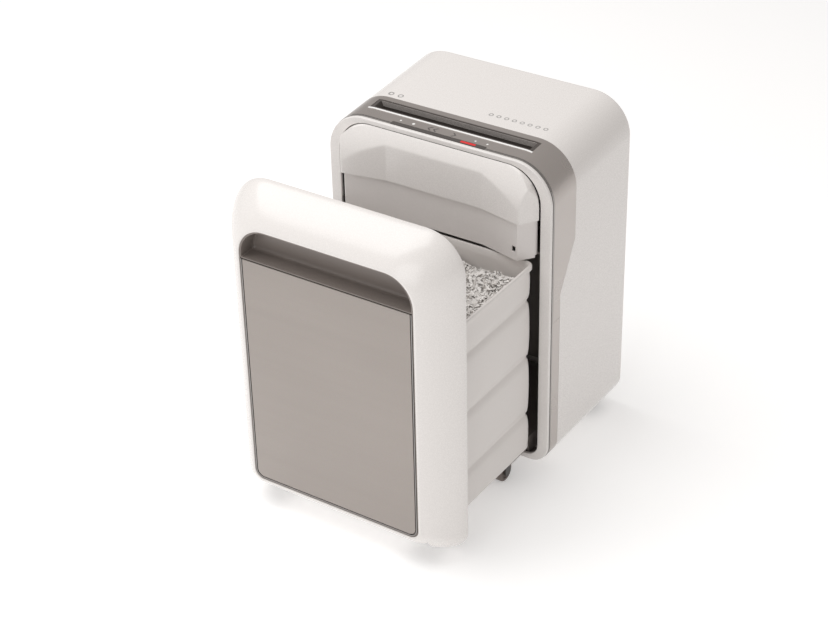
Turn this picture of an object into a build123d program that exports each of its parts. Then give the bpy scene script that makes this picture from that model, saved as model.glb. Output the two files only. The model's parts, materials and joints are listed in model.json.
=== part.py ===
"""Deskside paper shredder with a pull-out bin, in millimetres.

X is the width, seen from the front with +X to the right. The front looks towards -Y, Z is up
and the wheels stand on Z = 0. While the pieces are made, Y = 0 is the front face of the
cabinet's ring. They are written out with Y = 0 at the middle of the whole object's depth.
The bin stands pulled out by BIN_PULL, and its closed place is BIN_TRAVEL further back.
"""

from build123d import *
import math
import os

# ---------------------------------------------------------------- driving dimensions
# Cabinet
BODY_W = 365.0          # outer width
BODY_DEPTH = 226.0      # from the ring's face to the back
SHELL_Z = 20.0          # underside of the cabinet
FRONT_TOP_Z = 504.0     # height of the top at the front
BACK_TOP_Z = 518.0      # height of the top at the back
TOP_R = 60.0            # upper corners of the cabinet's outline
BOTTOM_R = 30.0         # lower corners of the cabinet's outline
SHELL_WALL = 3.0
BACK_WALL = 4.0
BACK_EDGE_R = 7.0

# Ring, bright trim and silver cover at the front of the cabinet
RING_DEPTH = 6.0
RING_SIDE = 17.5        # ring's width beside the bay
RING_FOOT = 9.0         # ring's height under the bay
RING_CROWN = 8.0        # ring's height over the hood
TRIM_DEPTH = 2.6
TRIM_WALL = 4.0
SEAM = 0.4              # visible joint line between neighbouring covers
COVER_TOP_Y = 67.0      # rear edge of the silver cover on the top
COVER_WAIST_Z = 369.0   # where its rear edge starts to slant
STRIP_TOP_Z = 298.0     # where the slant meets the narrow strip
STRIP_Y = 28.0          # rear edge of the narrow strip
STRIP_SEAM_Z = 260.0    # joint between the cover and the lower strip

# Hood over the bay and the guard below it
HOOD_LOW_Z = 423.0
HOOD_OUT = 26.0         # how far the hood's two shoulders stand out
HOOD_MID = 12.0         # how far its middle stands out
HOOD_SHOULDER_X = 146.0
HOOD_MID_X = 78.0
HOOD_WALL = 3.0
HOOD_BACK_Y = 4.0
GUARD_INSET = 4.0
GUARD_LIP = 3.0

# Bin
TUB_HALF_W = 161.0
TUB_GROOVE = 4.0        # how far the grooves go in
TUB_GROOVE_Z = (114.0, 211.0, 304.0)
TUB_GROOVE_H = 9.0
TUB_Z = 53.0
TUB_TOP_Z = 361.0
TUB_WALL = 2.6
TUB_DEPTH = 212.0
TUB_RIM_H = 8.0
TUB_RIM_OUT = 2.0
BIN_PULL = 215.0        # gap between the ring's face and the bin front at rest
BIN_SHUT_GAP = 0.5
TUB_TUCK = 7.0          # how far the tub reaches into the bin front
FRONT_DEPTH = 58.0
FRONT_Z = 12.0
FRONT_TOP = 506.0
FRONT_R_TOP = 58.0
FRONT_R_BOTTOM = 30.0
FACE_HALF_W = 142.0
FACE_Z = 46.0
FACE_TOP = 464.0
FACE_R_TOP = 47.0
FACE_R_BOTTOM = 18.0
FRONT_WALL = 3.0
FACE_WALL = 5.0
FLARE_STEPS = 9
PANEL_HALF_W = 135.0
PANEL_Z = 52.5
PANEL_TOP = 409.5
PANEL_T = 3.0
PANEL_R = 11.0
PANEL_TRIM = 1.2
PANEL_CHANNEL = 2.3     # dark channel round the panel
POCKET_HALF_W = 135.6
POCKET_Z = 411.0
POCKET_TOP = 459.0
POCKET_R = 40.0
POCKET_DEPTH = 27.5
POCKET_WALL = 2.0
PAPER_TOP_Z = 344.0
PAPER_CRUST = 4.0           # the heap is a crust, open beneath, with the weight of loose paper
PAPER_R = 4.0
PAPER_ROOM = 0.3
POST_ROOM_R = 5.0
POST_ROOM_L = 14.0
NOTCH_ROOM = 4.0        # notch past the arms, for the front wheels
BOSS_R = 6.0
BOSS_X = 110.0
BOSS_Z = (95.0, 325.0)

# Base, rails and wheels
BASE_T = 3.0
RAIL_X = 129.0
RAIL_W = 34.0
RAIL_BACK_Y = 160.0
ARM_OUT = 46.0          # how far the arms stand out in front of the ring
ARM_Z = 34.0
FRONT_WHEEL_R = 16.0
FRONT_WHEEL_W = 14.0
FRONT_WHEEL_Y = -38.0
REAR_WHEEL_R = 12.0
REAR_WHEEL_W = 10.0
CASTER_X = 146.0
CASTER_Y = 190.0
CASTER_TRAIL = 8.0
CASTER_ROOM = 1.8
CASTER_TOP_Z = 32.0
AXLE_R = 2.5
STEM_R = 4.0
CHEEK = 2.5
WHEEL_SIDE_GAP = 1.0

# Head mechanism
DECK_Z = 364.0
DECK_T = 3.0
THROAT_HALF_W = 115.0
THROAT_Y = 47.0
THROAT_GAP = 8.0
RECESS_HALF_W = 133.0
RECESS_Y0 = 32.0
RECESS_Y1 = 57.0
FUNNEL_Z = 485.0
NECK_LOW_Z = 455.0
NECK_WALL = 3.0
CUT_Z = 430.0
CUT_GAP = 35.0          # distance between the two cutter shafts
CUT_R = 20.0
CORE_R = 14.0
DISC_W = 3.6
DISC_PITCH = 8.0
DISC_COUNT = 30
FLUTES = 6
SHAFT_R = 6.0
BUSH_R = 10.0
PLATE_X = 124.0
PLATE_T = 4.0
PLATE_Y0 = 5.0
PLATE_Y1 = 104.0
PLATE_TOP_Z = 478.0
TIE_R = 4.0
GEAR_W = 12.0
SYNC_MODULE = 1.75
MAIN_MODULE = 1.5
MAIN_TEETH = 50
IDLER_TEETH = 15
IDLER_AXLE_R = 5.0
WHEEL_MODULE = 1.25
WHEEL_TEETH = 56
PINION_TEETH = 15
WHEEL_GEAR_W = 8.0
MOTOR_R = 32.0
MOTOR_LEN = 108.0
MOTOR_SHAFT_R = 4.0
FAN_R = 27.0

# Rear panel, inlet and power switch
REAR_WINDOW_HALF_W = 140.0
REAR_WINDOW_Z0 = 90.0
REAR_WINDOW_Z1 = 470.0
INLET_X = 112.0
INLET_Z = 402.0
INLET_HALF_W = 14.0
INLET_HALF_H = 10.5
ROCKER_X = 66.0
ROCKER_HALF_W = 11.0
ROCKER_HALF_H = 7.0
VENT_PITCH = 10.0
VENT_COUNT = 8
VENT_LOW_Z = 388.0

# Control strip
LED_X0 = -80.0
LED_X1 = 73.0
LED_WINDOW_DEPTH = 6.5
LAMP_X0 = 33.0
LAMP_X1 = 57.0
LAMP_INSET = 1.0
KEY_ROW_Y = 19.0

# Bin interlock
INTERLOCK_X = 136.0
INTERLOCK_Z = 381.0
TAB_HALF_W = 2.0
TAB_HALF_H = 3.0
TAB_REACH = 8.0         # how far the tab passes the bin front's rear edge

# Boards
BOARD_X0 = 34.0
BOARD_X1 = 118.0
BOARD_Y0 = 118.0
BOARD_Y1 = 182.0
BOARD_POST = 5.0
CONTROL_Z = 484.0

# Clearances
RUN_FIT = 0.05          # radial, shaft in a bearing
SLIDE_GAP = 0.3         # bin on its rails
PART_GAP = 0.2          # a piece set in its opening
COMB_GAP = 0.4

# Small sizes of the casings
REAR_WINDOW_R = 12.0
REAR_FLANGE = 6.0
REAR_FLANGE_T = 3.0
REAR_INSET = 0.6        # the rear panel's face, in from the back
VENT_X = -60.0
VENT_LENGTH = 110.0
VENT_H = 4.0
SCREW_EDGE = 12.0       # from the window's edge to the rear panel's screws
SCREW_SEAT = 2.8
SCREW_ROOM_R = 3.9
RING_INSET = 0.6
OPENING_R = 20.0        # lower corners of the bay's opening
LINER_T = 2.4
LINER_BACK_GAP = 3.2
LINER_RIB_Y = (40.0, 110.0, 180.0)
LINER_RIB_Z = 60.0
CHUTE_EDGE = 6.0
CHUTE_FRONT = 9.0

# Control strip marks
MARK_TIP = 5.0
MARK_TAIL = 3.0
CHEVRON_X = (-22.0, -13.0, 15.0)
DOT_PLACES = ((-71.0, 1.5), (-50.0, 2.2), (51.0, 1.5), (70.0, 1.5))
REACH_DOWN = 8.0        # prisms that cut through the top, below and above it
REACH_UP = 12.0

# Paper throat
FUNNEL_EDGE = 1.5
MOUTH_RISE = 8.0
FUNNEL_FLOOR = 3.0
LIP_W = 2.8
LIP_RISE = 0.6
SENSOR_SIDE = 6.0
SENSOR_H = 10.0
SENSOR_LIFT = 4.0

# Wheels and casters
FORK_HALF = 7.0
WHEEL_SHOULDER = 2.0
DISH_SHARE = 0.68
HUB_SHARE = 0.36
DISH_DEPTH = 1.5
CROWN_R = 11.0
CROWN_T = 3.0
STEM_LENGTH = 14.0
CASTER_CHEEK = 2.0
CASTER_EYE_R = 5.0
CASTER_FRONT = 6.0

# Gear teeth
PRESSURE_ANGLE = 20.0
STUB = 0.8              # height of a tooth above its pitch circle, in modules
THINNING = 0.08

# Cutter block and drive
FLUTE_HALF_W = 1.5
FLUTE_DEPTH = 3.0
COMB_BAR_T = 3.4
COMB_BAR_HALF_H = 10.0
COMB_REACH = 3.2        # how far the fingers pass the discs' edges
COMB_OFF = 4.5
FINGER_HALF_H = 4.0
SHAFT_ROOM = 6.0
TIE_FRONT = 5.0
TIE_BACK = 8.0
TIE_LOW = 9.0
COVER_T = 2.5
COVER_FRONT = 25.0
COVER_BELOW = 8.0
POST_R = 3.5
POST_EDGE_Y = 5.0
POST_EDGE_Z = 4.0
BELL = 12.0
BELL_STEP = 3.0
SHAFT_TAIL = 22.0
FAN_START = 6.0
FAN_HUB_R = 8.0
FAN_HUB_LENGTH = 12.0
FAN_BLADES = 8
BLADE_LENGTH = 10.0
BLADE_ROOT = 6.0
CRADLE_X = 70.0
CRADLE_W = 16.0
CRADLE_HALF_L = 24.0
CRADLE_DROP = 12.0

# Board parts, inlet and power switch
BOARD_T = 1.6
BOARD_POST_R = 2.5
BOARD_PARTS = ((8.0, 34.0, 8.0, 34.0, 24.0), (42.0, 60.0, 8.0, 22.0, 16.0),
               (64.0, 80.0, 8.0, 22.0, 16.0), (42.0, 80.0, 50.0, 60.0, 10.0))
CAPACITOR_R = 14.0
CAPACITOR_H = 62.0
CAPACITOR_X = 146.0
CAPACITOR_Y = 146.0
CONTROL_HALF_W = 100.0
CONTROL_POST_X = 96.0
CONTROL_Y0 = 12.0
CONTROL_Y1 = 29.0
CONTROL_POST_Y = 17.0
INLET_FIT = 0.1
INLET_DEPTH = 22.0
INLET_WALL = 2.2
SOCKET_DEPTH = 17.0
PIN_PLACES = ((-6.0, 1.5), (6.0, 1.5), (0.0, -2.5))
PIN_END = 3.0
ROCKER_DEPTH = 18.0
ROCKER_WALL = 1.8
ROCKER_HOLE = 12.0
ROCKER_PIVOT = 6.0
ROCKER_SIDE_GAP = 1.4
ROCKER_SWEEP = 5.5
ROCKER_FOOT = 9.0
ROCKER_FOOT_HALF = 2.4
ROCKER_DISH = 1.8
ROCKER_RIM = 0.4
PIVOT_R = 1.25
SWITCH_HALF_W = 8.0
SWITCH_LENGTH = 12.0
PLUNGER = 2.0

# Bin details
FLARE_REACH = 0.93
FLARE_BOW = 0.5         # share of the flare that follows an ellipse
FLARE_POWER = 1.3
TAB_ROOM = 1.2
BOSS_HOLE_R = 1.8
BOSS_HOLE_L = 14.0
NOTCH_SIDE = 3.0
TRIM_INSET = 0.4
TUB_R = 8.0
TUB_GROOVE_R = 6.0
TUB_RIM_R = 9.0
TUB_INNER_R = 4.0
TUB_HOLE_R = 2.0
TUB_SCREW_L = 16.0
TUB_SCREW_R = 1.7
REAR_SCREW_L = 9.0
REAR_SCREW_R = 1.9

# ---------------------------------------------------------------- values worked out
HALF_W = BODY_W / 2
RAMP = (BACK_TOP_Z - FRONT_TOP_Z) / BODY_DEPTH
BAY_HALF_W = HALF_W - RING_SIDE
BAY_Z = SHELL_Z + RING_FOOT
TRIM_Y = RING_DEPTH
COVER_Y = TRIM_Y + TRIM_DEPTH + SEAM
FRONT_REAR_Y = -BIN_PULL
FACE_Y = FRONT_REAR_Y - FRONT_DEPTH
TUB_FRONT_Y = FRONT_REAR_Y - TUB_TUCK
TUB_BACK_Y = TUB_FRONT_Y + TUB_DEPTH
BIN_TRAVEL = BIN_PULL - BIN_SHUT_GAP
RAIL_TOP_Z = TUB_Z - SLIDE_GAP
DECK_TOP_Z = DECK_Z + DECK_T
BASE_Z = SHELL_Z + SHELL_WALL
REAR_CUT_Y = THROAT_Y + CUT_GAP / 2
FRONT_CUT_Y = THROAT_Y - CUT_GAP / 2
MAIN_R = MAIN_MODULE * MAIN_TEETH / 2
IDLER_R = MAIN_MODULE * IDLER_TEETH / 2
WHEEL_R = WHEEL_MODULE * WHEEL_TEETH / 2
PINION_R = WHEEL_MODULE * PINION_TEETH / 2
IDLER_Y = REAR_CUT_Y + MAIN_R + IDLER_R
MOTOR_Y = IDLER_Y + WHEEL_R + PINION_R
DRIVE_X = PLATE_X + PLATE_T / 2 + 4.0       # inner face of the gears, both sides
WHEEL_X = DRIVE_X + GEAR_W + 4.0            # inner face of the large reduction wheel
OUTER_X = WHEEL_X + WHEEL_GEAR_W + 4.0      # inner face of the gearbox cover
LINER_X = BAY_HALF_W + 1.6
BAY_BACK_Y = TUB_BACK_Y + BIN_TRAVEL + 3.5
CUP_TOP_Z = CASTER_TOP_Z + 12
CASTER_HOLE_R = CASTER_TRAIL + REAR_WHEEL_R + CASTER_ROOM
LED_Y0 = RING_DEPTH
LED_Y1 = LED_Y0 + LED_WINDOW_DEPTH
LEFT_PLATE_Y1 = MOTOR_Y + MOTOR_R + 4
BOARD_Z = DECK_TOP_Z + BOARD_POST
SHIFT_Y = -(FACE_Y + BODY_DEPTH) / 2


# ---------------------------------------------------------------- small helpers
def block(x0, x1, y0, y1, z0, z1):
    """Box between two corners."""
    centre = Pos((x0 + x1) / 2, (y0 + y1) / 2, (z0 + z1) / 2)
    return centre * Box(x1 - x0, y1 - y0, z1 - z0)


def rod_x(radius, x0, x1, y, z):
    """Round bar along X."""
    return Pos((x0 + x1) / 2, y, z) * Rot(0, 90, 0) * Cylinder(radius, abs(x1 - x0))


def rod_y(radius, y0, y1, x, z):
    """Round bar along Y."""
    return Pos(x, (y0 + y1) / 2, z) * Rot(90, 0, 0) * Cylinder(radius, abs(y1 - y0))


def rod_z(radius, z0, z1, x, y):
    """Round bar along Z."""
    return Pos(x, y, (z0 + z1) / 2) * Cylinder(radius, abs(z1 - z0))


def across(outline, y0, y1):
    """Prism of an X-Z outline between two depths."""
    back = Plane(origin=(0, y1, 0), x_dir=(1, 0, 0), z_dir=(0, -1, 0))
    return extrude(back * outline, y1 - y0)


def along_x(outline, x0, x1):
    """Prism of a Y-Z outline between two places along X."""
    side = Plane(origin=(x0, 0, 0), x_dir=(0, 1, 0), z_dir=(1, 0, 0))
    return extrude(side * outline, x1 - x0)


def upright(outline, z0, z1):
    """Prism of an X-Y outline between two heights."""
    return extrude(Pos(0, 0, z0) * outline, z1 - z0)


def panel_outline(half_w, z_lo, z_hi, r_top, r_bottom):
    """Upright rounded rectangle with its own radii at the top and the bottom."""
    shape = Pos(0, (z_lo + z_hi) / 2) * Rectangle(2 * half_w, z_hi - z_lo)
    if r_top > 0:
        shape = fillet(shape.vertices().group_by(Axis.Y)[-1], r_top)
    if r_bottom > 0:
        shape = fillet(shape.vertices().group_by(Axis.Y)[0], r_bottom)
    return shape


def both_sides(piece):
    """A piece at +X and its mirror image at -X."""
    return [piece, mirror(piece, Plane.YZ)]


def screw_y(x, y_head, z, length, radius, head_r=3.6, head_t=2.2, direction=1):
    """Pan-head screw along Y whose shank points towards direction."""
    head = rod_y(head_r, y_head - direction * head_t, y_head, x, z)
    shank = rod_y(radius, y_head, y_head + direction * length, x, z)
    cross = block(x - head_t, x + head_t, *sorted((y_head - direction * head_t,
                  y_head - direction * head_t * 0.6)), z - 0.5, z + 0.5)
    return head + shank - cross


def save(name, *shapes):
    """Write a node's solids at their place in the finished object's frame."""
    solids = [solid for shape in shapes for solid in shape.solids()]
    node = Compound(solids).moved(Location((0, SHIFT_Y, 0)))
    export_step(node, f"parts/{name}.step")


# ---------------------------------------------------------------- cabinet casings
def body_section(y, inset):
    """Cabinet outline at one depth, moved inwards by inset."""
    top = FRONT_TOP_Z + RAMP * y - inset
    outline = panel_outline(HALF_W - inset, SHELL_Z + inset, top, TOP_R - inset, BOTTOM_R - inset)
    return Plane(origin=(0, y, 0), x_dir=(1, 0, 0), z_dir=(0, -1, 0)) * outline


def body_solid(inset, y0, y1):
    """Solid filling the cabinet's outline between two depths."""
    return loft([body_section(y0, inset), body_section(y1, inset)], ruled=True)


def cover_side_view(grow):
    """Side view of everything in front of the white shell, larger by grow."""
    waist = COVER_WAIST_Z - grow
    points = [(-1, -1), (STRIP_Y + grow, -1), (STRIP_Y + grow, STRIP_TOP_Z - grow),
              (COVER_TOP_Y + grow, waist), (COVER_TOP_Y + grow, BACK_TOP_Z + 40),
              (-1, BACK_TOP_Z + 40)]
    return make_face(Polyline(*points, close=True))


def cabinet_shell():
    """White shell: sides, top, bottom and back in one moulding."""
    outer = body_solid(0, 0, BODY_DEPTH)
    outer = fillet(outer.edges().group_by(Axis.Y)[-1], BACK_EDGE_R)
    shell = outer - body_solid(SHELL_WALL, -1, BODY_DEPTH - BACK_WALL)
    shell -= along_x(cover_side_view(SEAM), -HALF_W - 1, HALF_W + 1)
    window = panel_outline(REAR_WINDOW_HALF_W, REAR_WINDOW_Z0, REAR_WINDOW_Z1, REAR_WINDOW_R,
                           REAR_WINDOW_R)
    shell -= across(window, BODY_DEPTH - BACK_WALL - 1, BODY_DEPTH + 1)
    for hole in both_sides(rod_z(CASTER_HOLE_R, 0, CASTER_TOP_Z + REACH_DOWN, CASTER_X, CASTER_Y)):
        shell -= hole
    return shell


def rear_panel():
    """Service panel set in the back wall, with vents and two electrical openings."""
    back = BODY_DEPTH - BACK_WALL
    flange = panel_outline(REAR_WINDOW_HALF_W + REAR_FLANGE, REAR_WINDOW_Z0 - REAR_FLANGE,
                           REAR_WINDOW_Z1 + REAR_FLANGE, REAR_WINDOW_R + 2, REAR_WINDOW_R + 2)
    raised = panel_outline(REAR_WINDOW_HALF_W - PART_GAP, REAR_WINDOW_Z0 + PART_GAP,
                           REAR_WINDOW_Z1 - PART_GAP, REAR_WINDOW_R - PART_GAP,
                           REAR_WINDOW_R - PART_GAP)
    panel = across(flange, back - REAR_FLANGE_T, back)
    panel += across(raised, back, BODY_DEPTH - REAR_INSET)
    for row in range(VENT_COUNT):
        slot_z = VENT_LOW_Z + row * VENT_PITCH
        slot = Pos(VENT_X, slot_z) * SlotOverall(VENT_LENGTH, VENT_H)
        panel -= across(slot, back - 4, BODY_DEPTH)
    panel -= block(INLET_X - INLET_HALF_W, INLET_X + INLET_HALF_W, back - 4, BODY_DEPTH,
                   INLET_Z - INLET_HALF_H, INLET_Z + INLET_HALF_H)
    panel -= block(ROCKER_X - ROCKER_HALF_W, ROCKER_X + ROCKER_HALF_W, back - 4, BODY_DEPTH,
                   INLET_Z - ROCKER_HALF_H, INLET_Z + ROCKER_HALF_H)
    for x, z in rear_screw_places():
        panel -= rod_y(2.0, back - 4, BODY_DEPTH, x, z)
        panel -= rod_y(SCREW_ROOM_R, BODY_DEPTH - SCREW_SEAT, BODY_DEPTH + 1, x, z)
    return panel


def rear_screw_places():
    """Screws of the rear panel as (x, z)."""
    side = REAR_WINDOW_HALF_W - SCREW_EDGE
    heights = (REAR_WINDOW_Z0 + SCREW_EDGE, (REAR_WINDOW_Z0 + REAR_WINDOW_Z1) / 2,
               REAR_WINDOW_Z1 - SCREW_EDGE)
    return [(sign * side, z) for sign in (-1, 1) for z in heights]


def front_ring():
    """White ring that frames the bay."""
    outline = body_solid(RING_INSET, 0, RING_DEPTH)
    opening = panel_outline(BAY_HALF_W, BAY_Z, FRONT_TOP_Z - RING_CROWN, TOP_R - RING_CROWN,
                            OPENING_R)
    ring = outline - across(opening, -1, RING_DEPTH + 1)
    return ring


def chrome_trim():
    """Bright line between the ring and the silver cover."""
    end = TRIM_Y + TRIM_DEPTH
    hoop = body_solid(0, TRIM_Y, end) - body_solid(TRIM_WALL, TRIM_Y - 1, end + 1)
    return hoop - led_window_block(PART_GAP)


def led_window_block(grow):
    """Space of the dark window at the front edge of the top."""
    return block(LED_X0 - grow, LED_X1 + grow, LED_Y0 - grow, LED_Y1 + grow,
                 FRONT_TOP_Z - REACH_DOWN, FRONT_TOP_Z + REACH_UP)


def lamp_block():
    """Space of the red lamp in the dark window."""
    return block(LAMP_X0, LAMP_X1, LED_Y0 + LAMP_INSET, LED_Y1 - LAMP_INSET,
                 FRONT_TOP_Z - REACH_DOWN + 3, FRONT_TOP_Z + REACH_UP)


def led_window():
    """Dark strip over the status lamps."""
    return (led_window_block(0) & body_solid(0, 0, COVER_TOP_Y)) - lamp_block()


def status_lamp():
    """Red lamp, flush in the dark window."""
    return lamp_block() & body_solid(0, 0, COVER_TOP_Y)


def chevron(x, y, points_left):
    """One arrow mark of the control strip, seen from above."""
    side = -1 if points_left else 1
    mark = Polyline((x - side * MARK_TAIL, y - MARK_TIP), (x, y - MARK_TIP),
                    (x + side * MARK_TIP, y), (x, y + MARK_TIP),
                    (x - side * MARK_TAIL, y + MARK_TIP),
                    (x + side * (MARK_TIP - MARK_TAIL), y), close=True)
    return make_face(mark)


def key_marks():
    """Flush light guides of the touch keys, as prisms through the top."""
    marks = [chevron(x, KEY_ROW_Y, x < 0) for x in CHEVRON_X]
    marks += [Pos(x, KEY_ROW_Y) * Circle(radius) for x, radius in DOT_PLACES]
    return [upright(mark, FRONT_TOP_Z - REACH_DOWN, FRONT_TOP_Z + REACH_UP) for mark in marks]


def touch_key_marks():
    """Light guides cut to the cover's surface."""
    body = body_solid(0, 0, COVER_TOP_Y)
    skin = body - Pos(0, 0, -1.0) * body
    return [mark & skin for mark in key_marks()]


def head_cover():
    """Silver cover over the front of the top and down both sides."""
    cover = body_solid(0, COVER_Y, COVER_TOP_Y) - body_solid(SHELL_WALL, 0, COVER_TOP_Y + 1)
    cover &= along_x(cover_side_view(0), -HALF_W - 1, HALF_W + 1)
    cover -= block(-HALF_W - 1, HALF_W + 1, -1, COVER_TOP_Y + 1, 0, STRIP_SEAM_Z)
    cover -= block(-RECESS_HALF_W, RECESS_HALF_W, RECESS_Y0, RECESS_Y1, CUT_Z, BACK_TOP_Z)
    cover -= led_window_block(PART_GAP)
    for mark in touch_key_marks():
        cover -= mark
    return cover


def lower_strip():
    """Silver strip from the cover's seam down and under the bay."""
    strip = body_solid(0, COVER_Y, STRIP_Y) - body_solid(SHELL_WALL, 0, STRIP_Y + 1)
    return strip - block(-HALF_W - 1, HALF_W + 1, -1, STRIP_Y + 1, STRIP_SEAM_Z - SEAM,
                         BACK_TOP_Z + 10)


# ---------------------------------------------------------------- hood and guard
def hood_plan(inset):
    """Hood seen from above."""
    root = BAY_HALF_W - 2 - inset
    points = [(-root, HOOD_BACK_Y), (-root, 0), (-HOOD_SHOULDER_X + inset, -HOOD_OUT + inset),
              (-HOOD_MID_X, -HOOD_MID + inset), (HOOD_MID_X, -HOOD_MID + inset),
              (HOOD_SHOULDER_X - inset, -HOOD_OUT + inset), (root, 0), (root, HOOD_BACK_Y)]
    return make_face(Polyline(*points, close=True))


def hood_profile(inset):
    """Hood seen from the side: a bow from the top of the ring out to the lower edge."""
    top = FRONT_TOP_Z - RING_CROWN - inset
    out = -HOOD_OUT - 0.5 + inset
    bow = ThreePointArc((-1 + inset, top), (out * 0.55, top - 20), (out, HOOD_LOW_Z))
    rest = Polyline((out, HOOD_LOW_Z), (HOOD_BACK_Y, HOOD_LOW_Z), (HOOD_BACK_Y, top),
                    (-1 + inset, top))
    return make_face(bow + rest)


def hood_solid(inset):
    """Filled hood, smaller by inset all round but for its open back and underside."""
    solid = upright(hood_plan(inset), HOOD_LOW_Z, FRONT_TOP_Z)
    solid &= along_x(hood_profile(inset), -HALF_W, HALF_W)
    gap = PART_GAP + inset
    frame = panel_outline(BAY_HALF_W - gap, BAY_Z, FRONT_TOP_Z - RING_CROWN - gap,
                          TOP_R - RING_CROWN - gap, OPENING_R)
    return solid & across(frame, -HOOD_OUT - 5, HOOD_BACK_Y)


def head_hood():
    """White hood that hangs over the bay."""
    hollow = hood_solid(HOOD_WALL)
    slip = 2.0
    return hood_solid(0) - hollow - Pos(0, slip, 0) * hollow


def cutter_guard():
    """Recessed wall between the hood and the bay, with the interlock tab's slot."""
    def wall(inset, z0, z1):
        return upright(hood_plan(inset), z0, z1)
    guard = wall(GUARD_INSET, DECK_Z, HOOD_LOW_Z - PART_GAP)
    guard -= wall(GUARD_INSET + HOOD_WALL, DECK_Z + GUARD_LIP, HOOD_LOW_Z + 1)
    guard -= block(-HALF_W, HALF_W, -1, HOOD_BACK_Y + 1, DECK_Z - 1, DECK_Z + GUARD_LIP + 1)
    guard -= Pos(0, 2, 0) * wall(GUARD_INSET + HOOD_WALL, DECK_Z + GUARD_LIP, HOOD_LOW_Z + 1)
    guard -= block(INTERLOCK_X - TAB_HALF_W - TAB_ROOM, INTERLOCK_X + TAB_HALF_W + TAB_ROOM, -HOOD_OUT - 2,
                   HOOD_BACK_Y + 1, INTERLOCK_Z - TAB_HALF_H - TAB_ROOM,
                   INTERLOCK_Z + TAB_HALF_H + TAB_ROOM)
    return guard


# ---------------------------------------------------------------- paper throat
def throat_insert():
    """Funnel and neck that lead the sheets down to the cutters."""
    top = block(-RECESS_HALF_W + PART_GAP, RECESS_HALF_W - PART_GAP, RECESS_Y0 + PART_GAP,
                RECESS_Y1 - PART_GAP, FUNNEL_Z, BACK_TOP_Z)
    top &= body_solid(2 * PART_GAP, 0, COVER_TOP_Y)
    mouth_z = FRONT_TOP_Z + MOUTH_RISE
    mouth_y = (RECESS_Y0 + RECESS_Y1) / 2
    mouth = Pos(0, mouth_y, mouth_z) * Rectangle(2 * (RECESS_HALF_W - FUNNEL_EDGE - 1),
                                               RECESS_Y1 - RECESS_Y0 - 2 * FUNNEL_EDGE)
    half_gap = THROAT_GAP / 2
    floor = Pos(0, THROAT_Y, FUNNEL_Z + FUNNEL_FLOOR)
    floor *= Rectangle(2 * (THROAT_HALF_W + FUNNEL_FLOOR), THROAT_GAP + FUNNEL_FLOOR)
    funnel = loft([floor, mouth], ruled=True)
    neck_x = THROAT_HALF_W + NECK_WALL
    neck = block(-neck_x, neck_x, THROAT_Y - half_gap - NECK_WALL, THROAT_Y + half_gap + NECK_WALL,
                 NECK_LOW_Z, FUNNEL_Z)
    slot = block(-THROAT_HALF_W, THROAT_HALF_W, THROAT_Y - half_gap, THROAT_Y + half_gap,
                 NECK_LOW_Z - 1, mouth_z)
    return top + neck - funnel - slot


def slot_lip():
    """Bright strip along the front edge of the throat's recess."""
    strip = block(-RECESS_HALF_W - 1, RECESS_HALF_W + 1, RECESS_Y0 - PART_GAP - LIP_W,
                  RECESS_Y0 - PART_GAP, FRONT_TOP_Z - 1, FRONT_TOP_Z + REACH_UP)
    body = body_solid(0, 0, COVER_TOP_Y)
    return strip & ((Pos(0, 0, LIP_RISE) * body) - body)


def paper_sensors():
    """Optical sensor pair on the two faces of the throat's neck."""
    half = THROAT_GAP / 2 + NECK_WALL
    low = NECK_LOW_Z + SENSOR_LIFT
    return [block(-SENSOR_SIDE, SENSOR_SIDE, *sorted((THROAT_Y + side * half,
                  THROAT_Y + side * (half + SENSOR_SIDE))), low, low + SENSOR_H)
            for side in (-1, 1)]


# ---------------------------------------------------------------- bay and base
def head_deck():
    """Shelf between the bay and the mechanism, with the chute under the cutters."""
    room = HALF_W - SHELL_WALL - PART_GAP
    deck = block(-room, room, COVER_Y, BODY_DEPTH - BACK_WALL - LINER_BACK_GAP, DECK_Z, DECK_TOP_Z)
    deck -= block(-PLATE_X + CHUTE_EDGE, PLATE_X - CHUTE_EDGE, PLATE_Y0 + CHUTE_FRONT,
                  PLATE_Y1 - CHUTE_EDGE, DECK_Z - 1, DECK_TOP_Z + 1)
    return deck


def bay_liner():
    """Right-hand inner wall of the bay."""
    liner = block(LINER_X, LINER_X + LINER_T, RING_DEPTH,
                  BODY_DEPTH - BACK_WALL - LINER_BACK_GAP, CUP_TOP_Z, DECK_Z)
    for y in LINER_RIB_Y:
        rib = block(LINER_X + LINER_T, HALF_W - SHELL_WALL - PART_GAP, y, y + LINER_T,
                    LINER_RIB_Z, DECK_Z)
        liner += rib
    return liner


def bay_back_wall():
    """Inner wall behind the bin."""
    return block(-LINER_X, LINER_X, BAY_BACK_Y, BAY_BACK_Y + LINER_T, CUP_TOP_Z, DECK_Z)


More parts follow.
